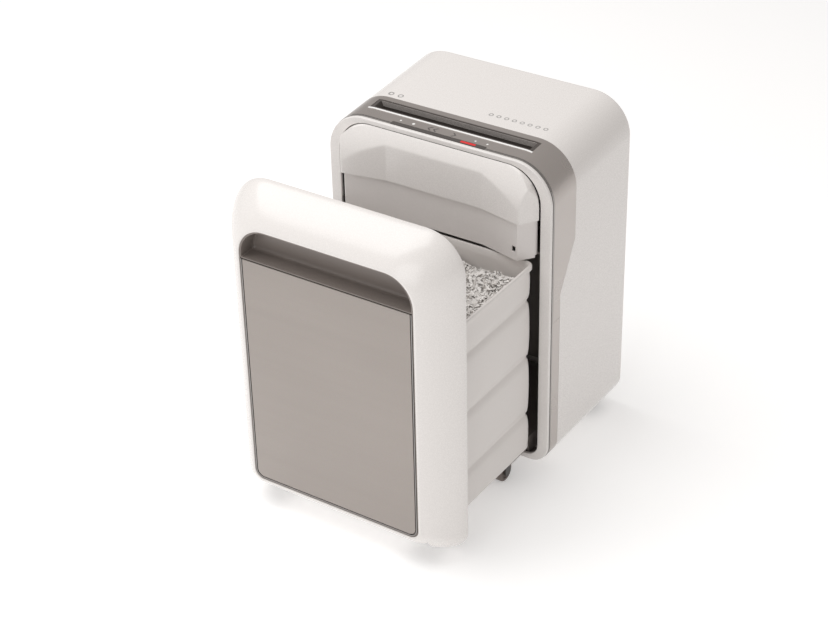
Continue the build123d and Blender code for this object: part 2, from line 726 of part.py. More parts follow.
def base_chassis():
    """Floor frame with the bin's rails, the front arms and the rear caster cups."""
    floor = block(-RAIL_X - RAIL_W / 2, RAIL_X + RAIL_W / 2, RING_DEPTH + 4,
                  BODY_DEPTH - BACK_WALL - 4, BASE_Z, BASE_Z + BASE_T)
    pieces = floor
    for sign in (-1, 1):
        x = sign * RAIL_X
        outer = (x - RAIL_W / 2, x + RAIL_W / 2)
        inner = (outer[0] + 3, outer[1] - 3)
        rail = block(*outer, RING_DEPTH + 4, RAIL_BACK_Y, BASE_Z, RAIL_TOP_Z)
        rail -= block(*inner, RING_DEPTH + 12, RAIL_BACK_Y - 3, BASE_Z - 1, RAIL_TOP_Z - 3)
        arm = block(*outer, -ARM_OUT, RING_DEPTH + 4, ARM_Z, RAIL_TOP_Z)
        cup = rod_z(CASTER_HOLE_R + 3, BASE_Z, CUP_TOP_Z, sign * CASTER_X, CASTER_Y)
        pieces = pieces + rail + arm + cup
    for sign in (-1, 1):
        pieces -= rod_z(CASTER_HOLE_R, 0, CASTER_TOP_Z + 4, sign * CASTER_X, CASTER_Y)
        pieces -= rod_z(STEM_R + RUN_FIT, 0, RAIL_TOP_Z, sign * CASTER_X, CASTER_Y)
    room = body_solid(SHELL_WALL + 0.1, -ARM_OUT - 5, BODY_DEPTH - BACK_WALL - 0.1)
    return pieces & (room + block(-HALF_W, HALF_W, -ARM_OUT - 5, 60, ARM_Z, RAIL_TOP_Z))


def front_wheel_bracket():
    """Fork under the end of the right-hand arm."""
    gap = FRONT_WHEEL_W / 2 + WHEEL_SIDE_GAP
    y0 = FRONT_WHEEL_Y - FORK_HALF
    y1 = FRONT_WHEEL_Y + FORK_HALF
    fork = None
    for sign in (-1, 1):
        x0, x1 = sorted((RAIL_X + sign * gap, RAIL_X + sign * (gap + CHEEK)))
        cheek = block(x0, x1, y0, y1, FRONT_WHEEL_R, ARM_Z)
        cheek += rod_x(FORK_HALF, x0, x1, FRONT_WHEEL_Y, FRONT_WHEEL_R)
        cheek -= rod_x(AXLE_R, x0 - 1, x1 + 1, FRONT_WHEEL_Y, FRONT_WHEEL_R)
        fork = cheek if fork is None else fork + cheek
    fork += block(RAIL_X - gap - CHEEK, RAIL_X + gap + CHEEK, y0 - 1, y1 + FORK_HALF - 1,
                  ARM_Z - CHEEK * 0.6, ARM_Z)
    return fork - rod_x(FRONT_WHEEL_R + 1, RAIL_X - gap, RAIL_X + gap, FRONT_WHEEL_Y,
                        FRONT_WHEEL_R)


def tyre_wheel(radius, width, x, y):
    """Wheel about an X axle, with rounded shoulders and dished faces."""
    wheel = rod_x(radius, x - width / 2, x + width / 2, y, radius)
    wheel = fillet(wheel.edges().filter_by(GeomType.CIRCLE), WHEEL_SHOULDER)
    for side in (-1, 1):
        face = x + side * width / 2
        dish = rod_x(radius * DISH_SHARE, *sorted((face - side * DISH_DEPTH, face + side)), y, radius)
        hub = rod_x(radius * HUB_SHARE, *sorted((face - side * DISH_DEPTH, face + side)), y, radius)
        wheel -= dish - hub
    return wheel - rod_x(AXLE_R + RUN_FIT, x - width, x + width, y, radius)


def axle(x, width, y, z):
    """Wheel axle across a fork."""
    half = width / 2 + WHEEL_SIDE_GAP + CHEEK
    return rod_x(AXLE_R, x - half, x + half, y, z)


def rear_caster_fork(sign):
    """Swivelling fork with its stem."""
    x = sign * CASTER_X
    wheel_y = CASTER_Y + CASTER_TRAIL
    gap = REAR_WHEEL_W / 2 + WHEEL_SIDE_GAP
    crown = rod_z(CROWN_R, CASTER_TOP_Z - CROWN_T, CASTER_TOP_Z, x, CASTER_Y)
    fork = crown + rod_z(STEM_R, CASTER_TOP_Z, CASTER_TOP_Z + STEM_LENGTH, x, CASTER_Y)
    for side in (-1, 1):
        x0, x1 = sorted((x + side * gap, x + side * (gap + CASTER_CHEEK)))
        cheek = block(x0, x1, CASTER_Y - CASTER_FRONT, wheel_y + CASTER_EYE_R, REAR_WHEEL_R,
                      CASTER_TOP_Z - CROWN_T)
        cheek += rod_x(CASTER_EYE_R, x0, x1, wheel_y, REAR_WHEEL_R)
        fork += cheek
    fork += block(x - gap - CASTER_CHEEK, x + gap + CASTER_CHEEK, CASTER_Y - CASTER_FRONT,
                  wheel_y + CASTER_EYE_R, CASTER_TOP_Z - CROWN_T - CASTER_CHEEK,
                  CASTER_TOP_Z - CROWN_T)
    return fork - rod_x(AXLE_R, x - CROWN_R, x + CROWN_R, wheel_y, REAR_WHEEL_R)


def rear_axle(sign):
    """Axle of a rear caster."""
    half = REAR_WHEEL_W / 2 + WHEEL_SIDE_GAP + CASTER_CHEEK
    x = sign * CASTER_X
    return rod_x(AXLE_R, x - half, x + half, CASTER_Y + CASTER_TRAIL, REAR_WHEEL_R)


# ---------------------------------------------------------------- gears
def gear(module, teeth, x0, x1, y, z, phase, bore):
    """Spur gear about an X axis with stub involute teeth; one tooth points to phase."""
    pressure = math.radians(PRESSURE_ANGLE)
    pitch = module * teeth / 2
    base = pitch * math.cos(pressure)
    tip = pitch + STUB * module
    root = pitch - module
    thinning = THINNING / pitch

    def half_angle(radius):
        """Half of the tooth's thickness at a radius, as an angle."""
        working = math.acos(min(1.0, base / radius))
        flank = math.tan(working) - working
        start = math.tan(pressure) - pressure
        return math.pi / (2 * teeth) + start - flank - thinning

    radii = [max(root, base), pitch, tip]
    points = []
    for tooth in range(teeth):
        centre = phase + 2 * math.pi * tooth / teeth
        rising = [(root, half_angle(radii[0]))] + [(r, half_angle(r)) for r in radii]
        for radius, half in rising:
            points.append((radius, centre - half))
        for radius, half in reversed(rising):
            points.append((radius, centre + half))
    if root >= base:
        points = [point for number, point in enumerate(points) if number % 8 not in (0, 7)]
    outline = Polyline(*[(r * math.cos(a), r * math.sin(a)) for r, a in points], close=True)
    wheel = along_x(Pos(y, z) * make_face(outline), x0, x1)
    return wheel - rod_x(bore, x0 - 1, x1 + 1, y, z)


# ---------------------------------------------------------------- cutters and drive
def disc_places(offset, count):
    """Centres of a roller's discs along X."""
    first = -DISC_PITCH * (DISC_COUNT - 1) / 2 + offset
    return [first + DISC_PITCH * number for number in range(count)]


def cutter_roller(y, discs, x_left, x_right):
    """Shaft with its cutting discs in one piece, fluted along its length."""
    barrel = PLATE_X - PLATE_T / 2 - 1
    profile = [(x_left, 0), (x_left, SHAFT_R), (-barrel, SHAFT_R), (-barrel, CORE_R)]
    for x in discs:
        left = x - DISC_W / 2
        right = x + DISC_W / 2
        profile += [(left, CORE_R), (left, CUT_R), (right, CUT_R), (right, CORE_R)]
    profile += [(barrel, CORE_R), (barrel, SHAFT_R), (x_right, SHAFT_R), (x_right, 0)]
    face = Plane.XZ * make_face(Polyline(*profile, close=True))
    roller = revolve(face, Axis.X)
    for number in range(FLUTES):
        flute = Rot(360 * number / FLUTES, 0, 0) * block(-barrel, barrel, -FLUTE_HALF_W,
                                                         FLUTE_HALF_W, CUT_R - FLUTE_DEPTH,
                                                         CUT_R + 2)
        roller -= flute
    return Pos(0, y, CUT_Z) * roller


def comb(y_bar, direction, finger_places):
    """Stripper bar whose fingers reach between the discs of one roller."""
    half = PLATE_X - PLATE_T / 2
    bar_back = y_bar + direction * COMB_BAR_T
    bar = block(-half, half, *sorted((y_bar, bar_back)), CUT_Z - COMB_BAR_HALF_H,
                CUT_Z + COMB_BAR_HALF_H)
    tip = y_bar + direction * (CUT_R - CORE_R + COMB_REACH)
    finger_w = DISC_PITCH - DISC_W - 2 * COMB_GAP
    for x in finger_places:
        bar += block(x - finger_w / 2, x + finger_w / 2, *sorted((bar_back, tip)), CUT_Z - FINGER_HALF_H,
                     CUT_Z + FINGER_HALF_H)
    return bar


def cutter_plate(sign, y_back):
    """Side plate of the cutter block."""
    x0, x1 = sorted((sign * (PLATE_X - PLATE_T / 2), sign * (PLATE_X + PLATE_T / 2)))
    plate = block(x0, x1, PLATE_Y0, y_back, DECK_TOP_Z, PLATE_TOP_Z)
    for y in (FRONT_CUT_Y, REAR_CUT_Y):
        plate -= rod_x(BUSH_R, x0 - 1, x1 + 1, y, CUT_Z)
    if sign < 0:
        plate -= rod_x(MOTOR_SHAFT_R + SHAFT_ROOM, x0 - 1, x1 + 1, MOTOR_Y, CUT_Z)
        plate -= rod_x(IDLER_AXLE_R, x0 - 1, x1 + 1, IDLER_Y, CUT_Z)
    return plate


def shaft_bushes():
    """Plain bearings of the two cutter shafts."""
    bushes = []
    for sign in (-1, 1):
        x0, x1 = sorted((sign * (PLATE_X - PLATE_T / 2), sign * (PLATE_X + PLATE_T / 2)))
        for y in (FRONT_CUT_Y, REAR_CUT_Y):
            bush = rod_x(BUSH_R, x0, x1, y, CUT_Z)
            bushes.append(bush - rod_x(SHAFT_R + RUN_FIT, x0 - 1, x1 + 1, y, CUT_Z))
    return bushes


def tie_rods():
    """Four bars that hold the side plates apart."""
    half = PLATE_X - PLATE_T / 2
    places = [(y, z) for z in (DECK_TOP_Z + TIE_LOW, PLATE_TOP_Z - TIE_BACK)
              for y in (PLATE_Y0 + TIE_FRONT, PLATE_Y1 - TIE_BACK)]
    return [rod_x(TIE_R, -half, half, y, z) for y, z in places]


def gearbox_cover():
    """Outer plate of the gear train with its four posts."""
    y0 = REAR_CUT_Y - COVER_FRONT
    y1 = LEFT_PLATE_Y1
    z0 = CUT_Z - MAIN_R - COVER_BELOW
    z1 = PLATE_TOP_Z
    cover = block(-OUTER_X - COVER_T, -OUTER_X, y0, y1, z0, z1)
    for y in (y0 + POST_EDGE_Y, y1 - POST_EDGE_Y):
        for z in (z0 + POST_EDGE_Z, z1 - POST_EDGE_Z):
            cover += rod_x(POST_R, -OUTER_X, -PLATE_X - PLATE_T / 2, y, z)
    cover -= rod_x(IDLER_AXLE_R, -OUTER_X - COVER_T - 1, -OUTER_X + 1, IDLER_Y, CUT_Z)
    return cover


def reduction_gear():
    """Large wheel and small pinion in one moulding on the fixed axle."""
    bore = IDLER_AXLE_R + RUN_FIT
    wheel = gear(WHEEL_MODULE, WHEEL_TEETH, -WHEEL_X - WHEEL_GEAR_W, -WHEEL_X, IDLER_Y, CUT_Z, 0,
                 bore)
    pinion = gear(MAIN_MODULE, IDLER_TEETH, -WHEEL_X, -DRIVE_X, IDLER_Y, CUT_Z,
                  math.pi + math.pi / IDLER_TEETH, bore)
    return wheel + pinion


def motor_body():
    """Motor can with its two end bells."""
    x0 = -PLATE_X + PLATE_T / 2
    x1 = x0 + MOTOR_LEN
    can = rod_x(MOTOR_R, x0 + BELL, x1 - BELL, MOTOR_Y, CUT_Z)
    can += rod_x(MOTOR_R - BELL_STEP, x0, x0 + BELL, MOTOR_Y, CUT_Z)
    can += rod_x(MOTOR_R - BELL_STEP, x1 - BELL, x1, MOTOR_Y, CUT_Z)
    return can - rod_x(MOTOR_SHAFT_R + RUN_FIT, x0 - 1, x1 + 1, MOTOR_Y, CUT_Z)


def motor_shaft():
    """Shaft through the motor with the pinion cut in its end."""
    shaft = rod_x(MOTOR_SHAFT_R, -WHEEL_X - WHEEL_GEAR_W, -PLATE_X + MOTOR_LEN + SHAFT_TAIL, MOTOR_Y,
                  CUT_Z)
    pinion = gear(WHEEL_MODULE, PINION_TEETH, -WHEEL_X - WHEEL_GEAR_W, -WHEEL_X, MOTOR_Y, CUT_Z,
                  math.pi + math.pi / PINION_TEETH, 1.0)
    return shaft + pinion


def motor_fan():
    """Cooling fan on the tail of the motor shaft."""
    x0 = -PLATE_X + MOTOR_LEN + FAN_START
    fan = rod_x(FAN_HUB_R, x0, x0 + FAN_HUB_LENGTH, MOTOR_Y, CUT_Z)
    for number in range(FAN_BLADES):
        blade = Rot(360 * number / FAN_BLADES, 0, 0) * block(0, BLADE_LENGTH, -1, 1, BLADE_ROOT,
                                                             FAN_R)
        fan += Pos(x0 + 1, MOTOR_Y, CUT_Z) * blade
    return fan - rod_x(MOTOR_SHAFT_R, x0 - 1, x0 + FAN_HUB_LENGTH + 1, MOTOR_Y, CUT_Z)


def motor_cradle():
    """Saddle between the deck and the motor."""
    x0 = -PLATE_X + CRADLE_X
    saddle = block(x0, x0 + CRADLE_W, MOTOR_Y - CRADLE_HALF_L, MOTOR_Y + CRADLE_HALF_L,
                   DECK_TOP_Z, CUT_Z - CRADLE_DROP)
    return saddle - rod_x(MOTOR_R, x0 - 1, x0 + CRADLE_W + 1, MOTOR_Y, CUT_Z)


# ---------------------------------------------------------------- electrics
def power_board():
    """Circuit board on four posts above the deck."""
    board = block(BOARD_X0, BOARD_X1, BOARD_Y0, BOARD_Y1, BOARD_Z, BOARD_Z + BOARD_T)
    for x in (BOARD_X0 + 4, BOARD_X1 - 4):
        for y in (BOARD_Y0 + 4, BOARD_Y1 - 4):
            board += rod_z(BOARD_POST_R, DECK_TOP_Z, BOARD_Z, x, y)
    return board


def board_components():
    """Transformer, relays and terminals on the power board."""
    top = BOARD_Z + BOARD_T
    return [block(BOARD_X0 + x0, BOARD_X0 + x1, BOARD_Y0 + y0, BOARD_Y0 + y1, top, top + height)
            for x0, x1, y0, y1, height in BOARD_PARTS]


def run_capacitor():
    """Capacitor can standing on the deck."""
    return rod_z(CAPACITOR_R, DECK_TOP_Z, DECK_TOP_Z + CAPACITOR_H, CAPACITOR_X, CAPACITOR_Y)


def control_board():
    """Board under the touch keys, on two posts from the cutter plates' tops."""
    board = block(-CONTROL_HALF_W, CONTROL_HALF_W, CONTROL_Y0, CONTROL_Y1, CONTROL_Z,
                  CONTROL_Z + BOARD_T)
    for x in (-CONTROL_POST_X, CONTROL_POST_X):
        board += rod_z(BOARD_POST_R, CONTROL_Z + BOARD_T,
                       FRONT_TOP_Z - SHELL_WALL + RAMP * (CONTROL_Y0 + 1), x, CONTROL_POST_Y)
    return board


def power_inlet():
    """Mains inlet in the rear panel."""
    out = BODY_DEPTH - REAR_INSET
    body = block(INLET_X - INLET_HALF_W + INLET_FIT, INLET_X + INLET_HALF_W - INLET_FIT, out - INLET_DEPTH,
                 out,
                 INLET_Z - INLET_HALF_H + INLET_FIT, INLET_Z + INLET_HALF_H - INLET_FIT)
    body -= block(INLET_X - INLET_HALF_W + INLET_WALL, INLET_X + INLET_HALF_W - INLET_WALL,
                  out - SOCKET_DEPTH, out + 1,
                  INLET_Z - INLET_HALF_H + INLET_WALL, INLET_Z + INLET_HALF_H - INLET_WALL)
    for x, z in PIN_PLACES:
        body += block(INLET_X + x - 1, INLET_X + x + 1, out - SOCKET_DEPTH - 0.5,
                      out - PIN_END, INLET_Z + z - 2,
                      INLET_Z + z + 2)
    return body


def rocker_housing():
    """Frame of the power switch."""
    out = BODY_DEPTH - REAR_INSET
    body = block(ROCKER_X - ROCKER_HALF_W + INLET_FIT, ROCKER_X + ROCKER_HALF_W - INLET_FIT,
                 out - ROCKER_DEPTH, out,
                 INLET_Z - ROCKER_HALF_H + INLET_FIT, INLET_Z + ROCKER_HALF_H - INLET_FIT)
    body -= block(ROCKER_X - ROCKER_HALF_W + ROCKER_WALL, ROCKER_X + ROCKER_HALF_W - ROCKER_WALL,
                  out - ROCKER_HOLE, out + 1, INLET_Z - ROCKER_HALF_H + ROCKER_WALL,
                  INLET_Z + ROCKER_HALF_H - ROCKER_WALL)
    return body - rod_z(PIVOT_R + RUN_FIT, INLET_Z - ROCKER_HALF_H, INLET_Z + ROCKER_HALF_H, ROCKER_X,
                        out - ROCKER_PIVOT)


def power_rocker():
    """Rocker of the power switch, tipped about an upright pin."""
    out = BODY_DEPTH - REAR_INSET
    half = ROCKER_HALF_W - ROCKER_WALL - ROCKER_SIDE_GAP
    sides = [(-half, out - ROCKER_SWEEP), (-half, out - ROCKER_RIM), (0, out - ROCKER_DISH),
             (half, out - ROCKER_RIM), (half, out - ROCKER_SWEEP),
             (ROCKER_FOOT_HALF, out - ROCKER_FOOT), (-ROCKER_FOOT_HALF, out - ROCKER_FOOT)]
    outline = make_face(Polyline(*sides, close=True))
    height = ROCKER_HALF_H - ROCKER_FOOT_HALF
    rocker = upright(Pos(ROCKER_X, 0) * outline, INLET_Z - height, INLET_Z + height)
    pin = rod_z(PIVOT_R, INLET_Z - ROCKER_HALF_H + REAR_INSET, INLET_Z + ROCKER_HALF_H - REAR_INSET, ROCKER_X,
                out - ROCKER_PIVOT)
    return rocker + pin


def interlock_switch():
    """Switch that the bin's tab presses when the bin is shut."""
    y0 = TAB_REACH + 1.0
    body = block(INTERLOCK_X - SWITCH_HALF_W, INTERLOCK_X + SWITCH_HALF_W, y0 + PLUNGER,
                 y0 + PLUNGER + SWITCH_LENGTH, DECK_TOP_Z, INTERLOCK_Z + SWITCH_HALF_W - 1)
    return body + block(INTERLOCK_X - PLUNGER + 0.5, INTERLOCK_X + PLUNGER - 0.5, y0, y0 + PLUNGER,
                        INTERLOCK_Z - PLUNGER, INTERLOCK_Z + PLUNGER)


# ---------------------------------------------------------------- bin
def flare(share):
    """How far the bin front has turned in, from 0 at its rear edge to 1 at its face."""
    bow = 1 - math.sqrt(1 - (FLARE_REACH * share) ** 2)
    bow /= 1 - math.sqrt(1 - FLARE_REACH ** 2)
    return FLARE_BOW * bow + (1 - FLARE_BOW) * share ** FLARE_POWER


def front_section(depth, full_depth, inset):
    """Outline of the bin front at a depth from its rear edge."""
    turn = flare(depth / full_depth)

    def between(start, end):
        return start + (end - start) * turn
    outline = panel_outline(between(HALF_W, FACE_HALF_W) - inset, between(FRONT_Z, FACE_Z) + inset,
                            between(FRONT_TOP, FACE_TOP) - inset,
                            between(FRONT_R_TOP, FACE_R_TOP) - inset,
                            between(FRONT_R_BOTTOM, FACE_R_BOTTOM) - inset)
    y = FRONT_REAR_Y - depth
    return Plane(origin=(0, y, 0), x_dir=(1, 0, 0), z_dir=(0, -1, 0)) * outline


def front_solid(full_depth, inset, lead):
    """Filled bin front; lead carries it past the rear edge."""
    sections = [front_section(full_depth * step / (FLARE_STEPS - 1), full_depth, inset)
                for step in range(FLARE_STEPS)]
    solid = loft(sections, ruled=True)
    if lead > 0:
        collar = panel_outline(HALF_W - inset, FRONT_Z + inset, FRONT_TOP - inset,
                               FRONT_R_TOP - inset, FRONT_R_BOTTOM - inset)
        solid += across(collar, FRONT_REAR_Y, FRONT_REAR_Y + lead)
    return solid


def panel_recess():
    """Space of the silver panel, its bright edge and the channel round them."""
    edge = PANEL_TRIM + PANEL_CHANNEL
    outline = panel_outline(PANEL_HALF_W + edge, PANEL_Z - edge, POCKET_Z + 1, 0, PANEL_R + edge)
    return across(outline, FACE_Y - 1, FACE_Y + PANEL_T + PART_GAP)


def pocket_outline(inset):
    """Hand recess: straight sides with large upper corners."""
    return panel_outline(POCKET_HALF_W - inset, POCKET_Z + inset, POCKET_TOP - inset,
                         POCKET_R - inset, 3)


def bin_front_shell():
    """White moulded front of the bin, open at its back."""
    shell = front_solid(FRONT_DEPTH, 0, 0) - front_solid(FRONT_DEPTH - FACE_WALL, FRONT_WALL, 2)
    shell -= panel_recess()
    shell -= across(pocket_outline(0), FACE_Y - 1, FACE_Y + FACE_WALL + 1)
    inside = FACE_Y + FACE_WALL - 0.5
    for x in (-BOSS_X, BOSS_X):
        for z in BOSS_Z:
            shell += rod_y(BOSS_R, inside, TUB_FRONT_Y, x, z)
            shell -= rod_y(BOSS_HOLE_R, TUB_FRONT_Y - BOSS_HOLE_L, TUB_FRONT_Y + 1, x, z)
    shell += block(INTERLOCK_X - TAB_HALF_W, INTERLOCK_X + TAB_HALF_W, inside,
                   FRONT_REAR_Y + TAB_REACH, INTERLOCK_Z - TAB_HALF_H, INTERLOCK_Z + TAB_HALF_H)
    for sign in (-1, 1):
        x = sign * RAIL_X
        half = RAIL_W / 2 + NOTCH_SIDE
        notch_depth = ARM_OUT + NOTCH_ROOM
        shell -= block(x - half, x + half, FRONT_REAR_Y - notch_depth, FRONT_REAR_Y + 1, 0,
                       TUB_Z - 1)
    return shell


def front_panel():
    """Silver panel on the bin front."""
    outline = panel_outline(PANEL_HALF_W, PANEL_Z, PANEL_TOP, 0, PANEL_R)
    return across(outline, FACE_Y, FACE_Y + PANEL_T)


def panel_edge_trim():
    """Bright edge round the two sides and the foot of the silver panel."""
    outer = panel_outline(PANEL_HALF_W + PANEL_TRIM, PANEL_Z - PANEL_TRIM, PANEL_TOP, 0,
                          PANEL_R + PANEL_TRIM)
    inner = panel_outline(PANEL_HALF_W, PANEL_Z, PANEL_TOP + 1, 0, PANEL_R)
    return across(outer, FACE_Y + TRIM_INSET, FACE_Y + PANEL_T) - across(inner, FACE_Y, FACE_Y + PANEL_T + 1)


def hand_pocket():
    """Dark cup behind the upper edge of the panel."""
    front = FACE_Y + TRIM_INSET
    back = FACE_Y + POCKET_DEPTH
    cup = across(pocket_outline(PART_GAP), front, back + POCKET_WALL)
    return cup - across(pocket_outline(PART_GAP + POCKET_WALL), front - 1, back)


def tub_box(inset, z0, z1):
    """Tub space between two heights, moved inwards by inset."""
    return block(-TUB_HALF_W + inset, TUB_HALF_W - inset, TUB_FRONT_Y + inset, TUB_BACK_Y - inset,
                 z0, z1)


def bin_tub():
    """Ribbed tub with a stiff rim."""
    walls = tub_box(0, TUB_Z, TUB_TOP_Z)
    walls = fillet(walls.edges().filter_by(Axis.Z), TUB_R)
    for z in TUB_GROOVE_Z:
        band = tub_box(-1, z - TUB_GROOVE_H / 2, z + TUB_GROOVE_H / 2)
        keep = fillet(tub_box(TUB_GROOVE, z - TUB_GROOVE_H, z + TUB_GROOVE_H).edges()
                      .filter_by(Axis.Z), TUB_GROOVE_R)
        walls -= band - keep
    rim = tub_box(-TUB_RIM_OUT, TUB_TOP_Z - TUB_RIM_H, TUB_TOP_Z)
    walls += fillet(rim.edges().filter_by(Axis.Z), TUB_RIM_R)
    inner = tub_box(TUB_GROOVE + TUB_WALL, TUB_Z + TUB_WALL, TUB_TOP_Z + 1)
    walls -= fillet(inner.edges().filter_by(Axis.Z), TUB_INNER_R)
    for x in (-BOSS_X, BOSS_X):
        for z in BOSS_Z:
            walls -= rod_y(TUB_HOLE_R, TUB_FRONT_Y - 1, TUB_FRONT_Y + POST_ROOM_L, x, z)
    return walls


def shredded_paper():
    """Heap of cut paper that fills the tub, as a crust open beneath."""
    inset = TUB_GROOVE + TUB_WALL + PAPER_ROOM
    foot = TUB_Z + TUB_WALL + PART_GAP
    heap = tub_box(inset, foot, PAPER_TOP_Z)
    heap = fillet(heap.edges().filter_by(Axis.Z), PAPER_R)
    heap -= tub_box(inset + PAPER_CRUST, foot - 1, PAPER_TOP_Z - PAPER_CRUST)
    for x in (-BOSS_X, BOSS_X):
        for z in BOSS_Z:
            heap -= rod_y(POST_ROOM_R, TUB_FRONT_Y, TUB_FRONT_Y + POST_ROOM_L, x, z)
    return heap


def bin_screws():
    """Screws that hold the tub to the bosses of the bin front."""
    seat = TUB_FRONT_Y + TUB_GROOVE + TUB_WALL
    return [screw_y(x, seat, z, TUB_SCREW_L, TUB_SCREW_R, direction=-1)
            for x in (-BOSS_X, BOSS_X) for z in BOSS_Z]


def rear_screws():
    """Screws of the rear panel."""
    return [screw_y(x, BODY_DEPTH - SCREW_SEAT, z, REAR_SCREW_L, REAR_SCREW_R, direction=-1)
            for x, z in rear_screw_places()]


# ---------------------------------------------------------------- write the nodes
def write_cabinet():
    """Casings, base and bay."""
    save("cabinet_shell", cabinet_shell())
    save("rear_panel", rear_panel())
    save("rear_panel_screws", *rear_screws())
    save("front_ring", front_ring())
    save("chrome_trim", chrome_trim())
    save("led_window", led_window())
    save("status_lamp", status_lamp())
    save("touch_key_marks", *touch_key_marks())
    save("head_cover", head_cover())
    save("lower_strip", lower_strip())
    save("head_hood", head_hood())
    save("cutter_guard", cutter_guard())
    save("throat_insert", throat_insert())
    save("slot_lip", slot_lip())
    save("paper_sensors", *paper_sensors())
    save("head_deck", head_deck())
    right, left = both_sides(bay_liner())
    save("bay_liner_right", right)
    save("bay_liner_left", left)
    save("bay_back_wall", bay_back_wall())
    save("base_chassis", base_chassis())


def write_wheels():
    """Front wheels and rear casters."""
    front_axle = axle(RAIL_X, FRONT_WHEEL_W, FRONT_WHEEL_Y, FRONT_WHEEL_R)
    save("front_wheel_brackets", *both_sides(front_wheel_bracket()), *both_sides(front_axle))
    for side, sign in (("left", -1), ("right", 1)):
        save(f"front_wheel_{side}",
             tyre_wheel(FRONT_WHEEL_R, FRONT_WHEEL_W, sign * RAIL_X, FRONT_WHEEL_Y))
        save(f"caster_fork_{side}", rear_caster_fork(sign), rear_axle(sign))
        save(f"caster_wheel_{side}", tyre_wheel(REAR_WHEEL_R, REAR_WHEEL_W, sign * CASTER_X,
                                                CASTER_Y + CASTER_TRAIL))


def write_mechanism():
    """Cutters, gears and motor."""
    end_x = DRIVE_X + GEAR_W + 2
    front_discs = disc_places(0, DISC_COUNT)
    rear_discs = disc_places(DISC_PITCH / 2, DISC_COUNT - 1)
    save("front_cutter", cutter_roller(FRONT_CUT_Y, front_discs, -PLATE_X - PLATE_T / 2, end_x))
    save("rear_cutter", cutter_roller(REAR_CUT_Y, rear_discs, -end_x, end_x))
    reach = CUT_R + COMB_OFF
    save("front_comb", comb(FRONT_CUT_Y - reach, 1, rear_discs))
    save("rear_comb", comb(REAR_CUT_Y + reach, -1, front_discs[1:-1]))
    save("cutter_plate_left", cutter_plate(-1, LEFT_PLATE_Y1))
    save("cutter_plate_right", cutter_plate(1, PLATE_Y1))
    save("shaft_bushes", *shaft_bushes())
    save("tie_rods", *tie_rods())
    sync_teeth = round(CUT_GAP / SYNC_MODULE)
    save("front_sync_gear", gear(SYNC_MODULE, sync_teeth, DRIVE_X, DRIVE_X + GEAR_W, FRONT_CUT_Y,
                                 CUT_Z, math.pi / sync_teeth, SHAFT_R))
    save("rear_sync_gear", gear(SYNC_MODULE, sync_teeth, DRIVE_X, DRIVE_X + GEAR_W, REAR_CUT_Y,
                                CUT_Z, math.pi, SHAFT_R))
    save("main_drive_gear", gear(MAIN_MODULE, MAIN_TEETH, -DRIVE_X - GEAR_W, -DRIVE_X, REAR_CUT_Y,
                                 CUT_Z, 0, SHAFT_R))
    save("reduction_gear", reduction_gear())
    save("reduction_axle", rod_x(IDLER_AXLE_R, -OUTER_X - COVER_T, -PLATE_X + PLATE_T / 2, IDLER_Y,
                                 CUT_Z))
    save("gearbox_cover", gearbox_cover())
    save("motor_body", motor_body())
    save("motor_shaft", motor_shaft())
    save("motor_fan", motor_fan())
    save("motor_cradle", motor_cradle())


def write_electrics():
    """Boards, switches and the mains inlet."""
    save("power_board", power_board())
    save("board_components", *board_components())
    save("run_capacitor", run_capacitor())
    save("control_board", control_board())
    save("power_inlet", power_inlet())
    save("rocker_housing", rocker_housing())
    save("power_rocker", power_rocker())
    save("interlock_switch", interlock_switch())


def write_bin():
    """Everything that slides out with the bin."""
    save("bin_front_shell", bin_front_shell())
    save("front_panel", front_panel())
    save("panel_edge_trim", panel_edge_trim())
    save("hand_pocket", hand_pocket())
    save("bin_tub", bin_tub())
    save("shredded_paper", shredded_paper())
    save("bin_screws", *bin_screws())


os.makedirs("parts", exist_ok=True)
write_cabinet()
write_wheels()
write_mechanism()
write_electrics()
write_bin()
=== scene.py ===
"""Looks of a deskside paper shredder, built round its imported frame. Metres, Z up, front at -Y."""

import json
import math
import bmesh
import bpy
from mathutils import Matrix, Vector


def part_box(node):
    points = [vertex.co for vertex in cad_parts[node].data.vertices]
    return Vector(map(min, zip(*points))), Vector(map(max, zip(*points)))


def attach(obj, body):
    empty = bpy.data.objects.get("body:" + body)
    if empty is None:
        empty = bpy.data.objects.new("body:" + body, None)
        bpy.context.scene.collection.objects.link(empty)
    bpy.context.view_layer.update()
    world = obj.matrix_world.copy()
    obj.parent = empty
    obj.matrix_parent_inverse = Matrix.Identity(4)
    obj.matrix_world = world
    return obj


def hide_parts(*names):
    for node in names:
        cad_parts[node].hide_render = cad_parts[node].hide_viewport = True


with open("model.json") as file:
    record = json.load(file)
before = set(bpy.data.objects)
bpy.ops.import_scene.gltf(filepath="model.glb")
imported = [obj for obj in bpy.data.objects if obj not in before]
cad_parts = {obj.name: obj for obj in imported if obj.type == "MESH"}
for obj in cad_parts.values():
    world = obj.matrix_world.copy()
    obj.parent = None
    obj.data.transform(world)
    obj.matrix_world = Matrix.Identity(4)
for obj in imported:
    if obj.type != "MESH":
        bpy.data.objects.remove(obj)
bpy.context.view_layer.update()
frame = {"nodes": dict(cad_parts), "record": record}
MM = 0.001

# ---------------------------------------------------------------- places read from the frame
RING_LO, RING_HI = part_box("front_ring")
FRONT_LO, FRONT_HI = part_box("bin_front_shell")
PANEL_LO, PANEL_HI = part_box("front_panel")
POCKET_LO, POCKET_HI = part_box("hand_pocket")
TUB_LO, TUB_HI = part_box("bin_tub")
PAPER_LO, PAPER_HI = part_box("shredded_paper")
HOOD_LO, HOOD_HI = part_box("head_hood")
TOP_RAMP = 0.062            # rise of the cabinet's top for its run towards the back
RING_STEP = 0.6 * MM        # from the ring's outline out to the cabinet's

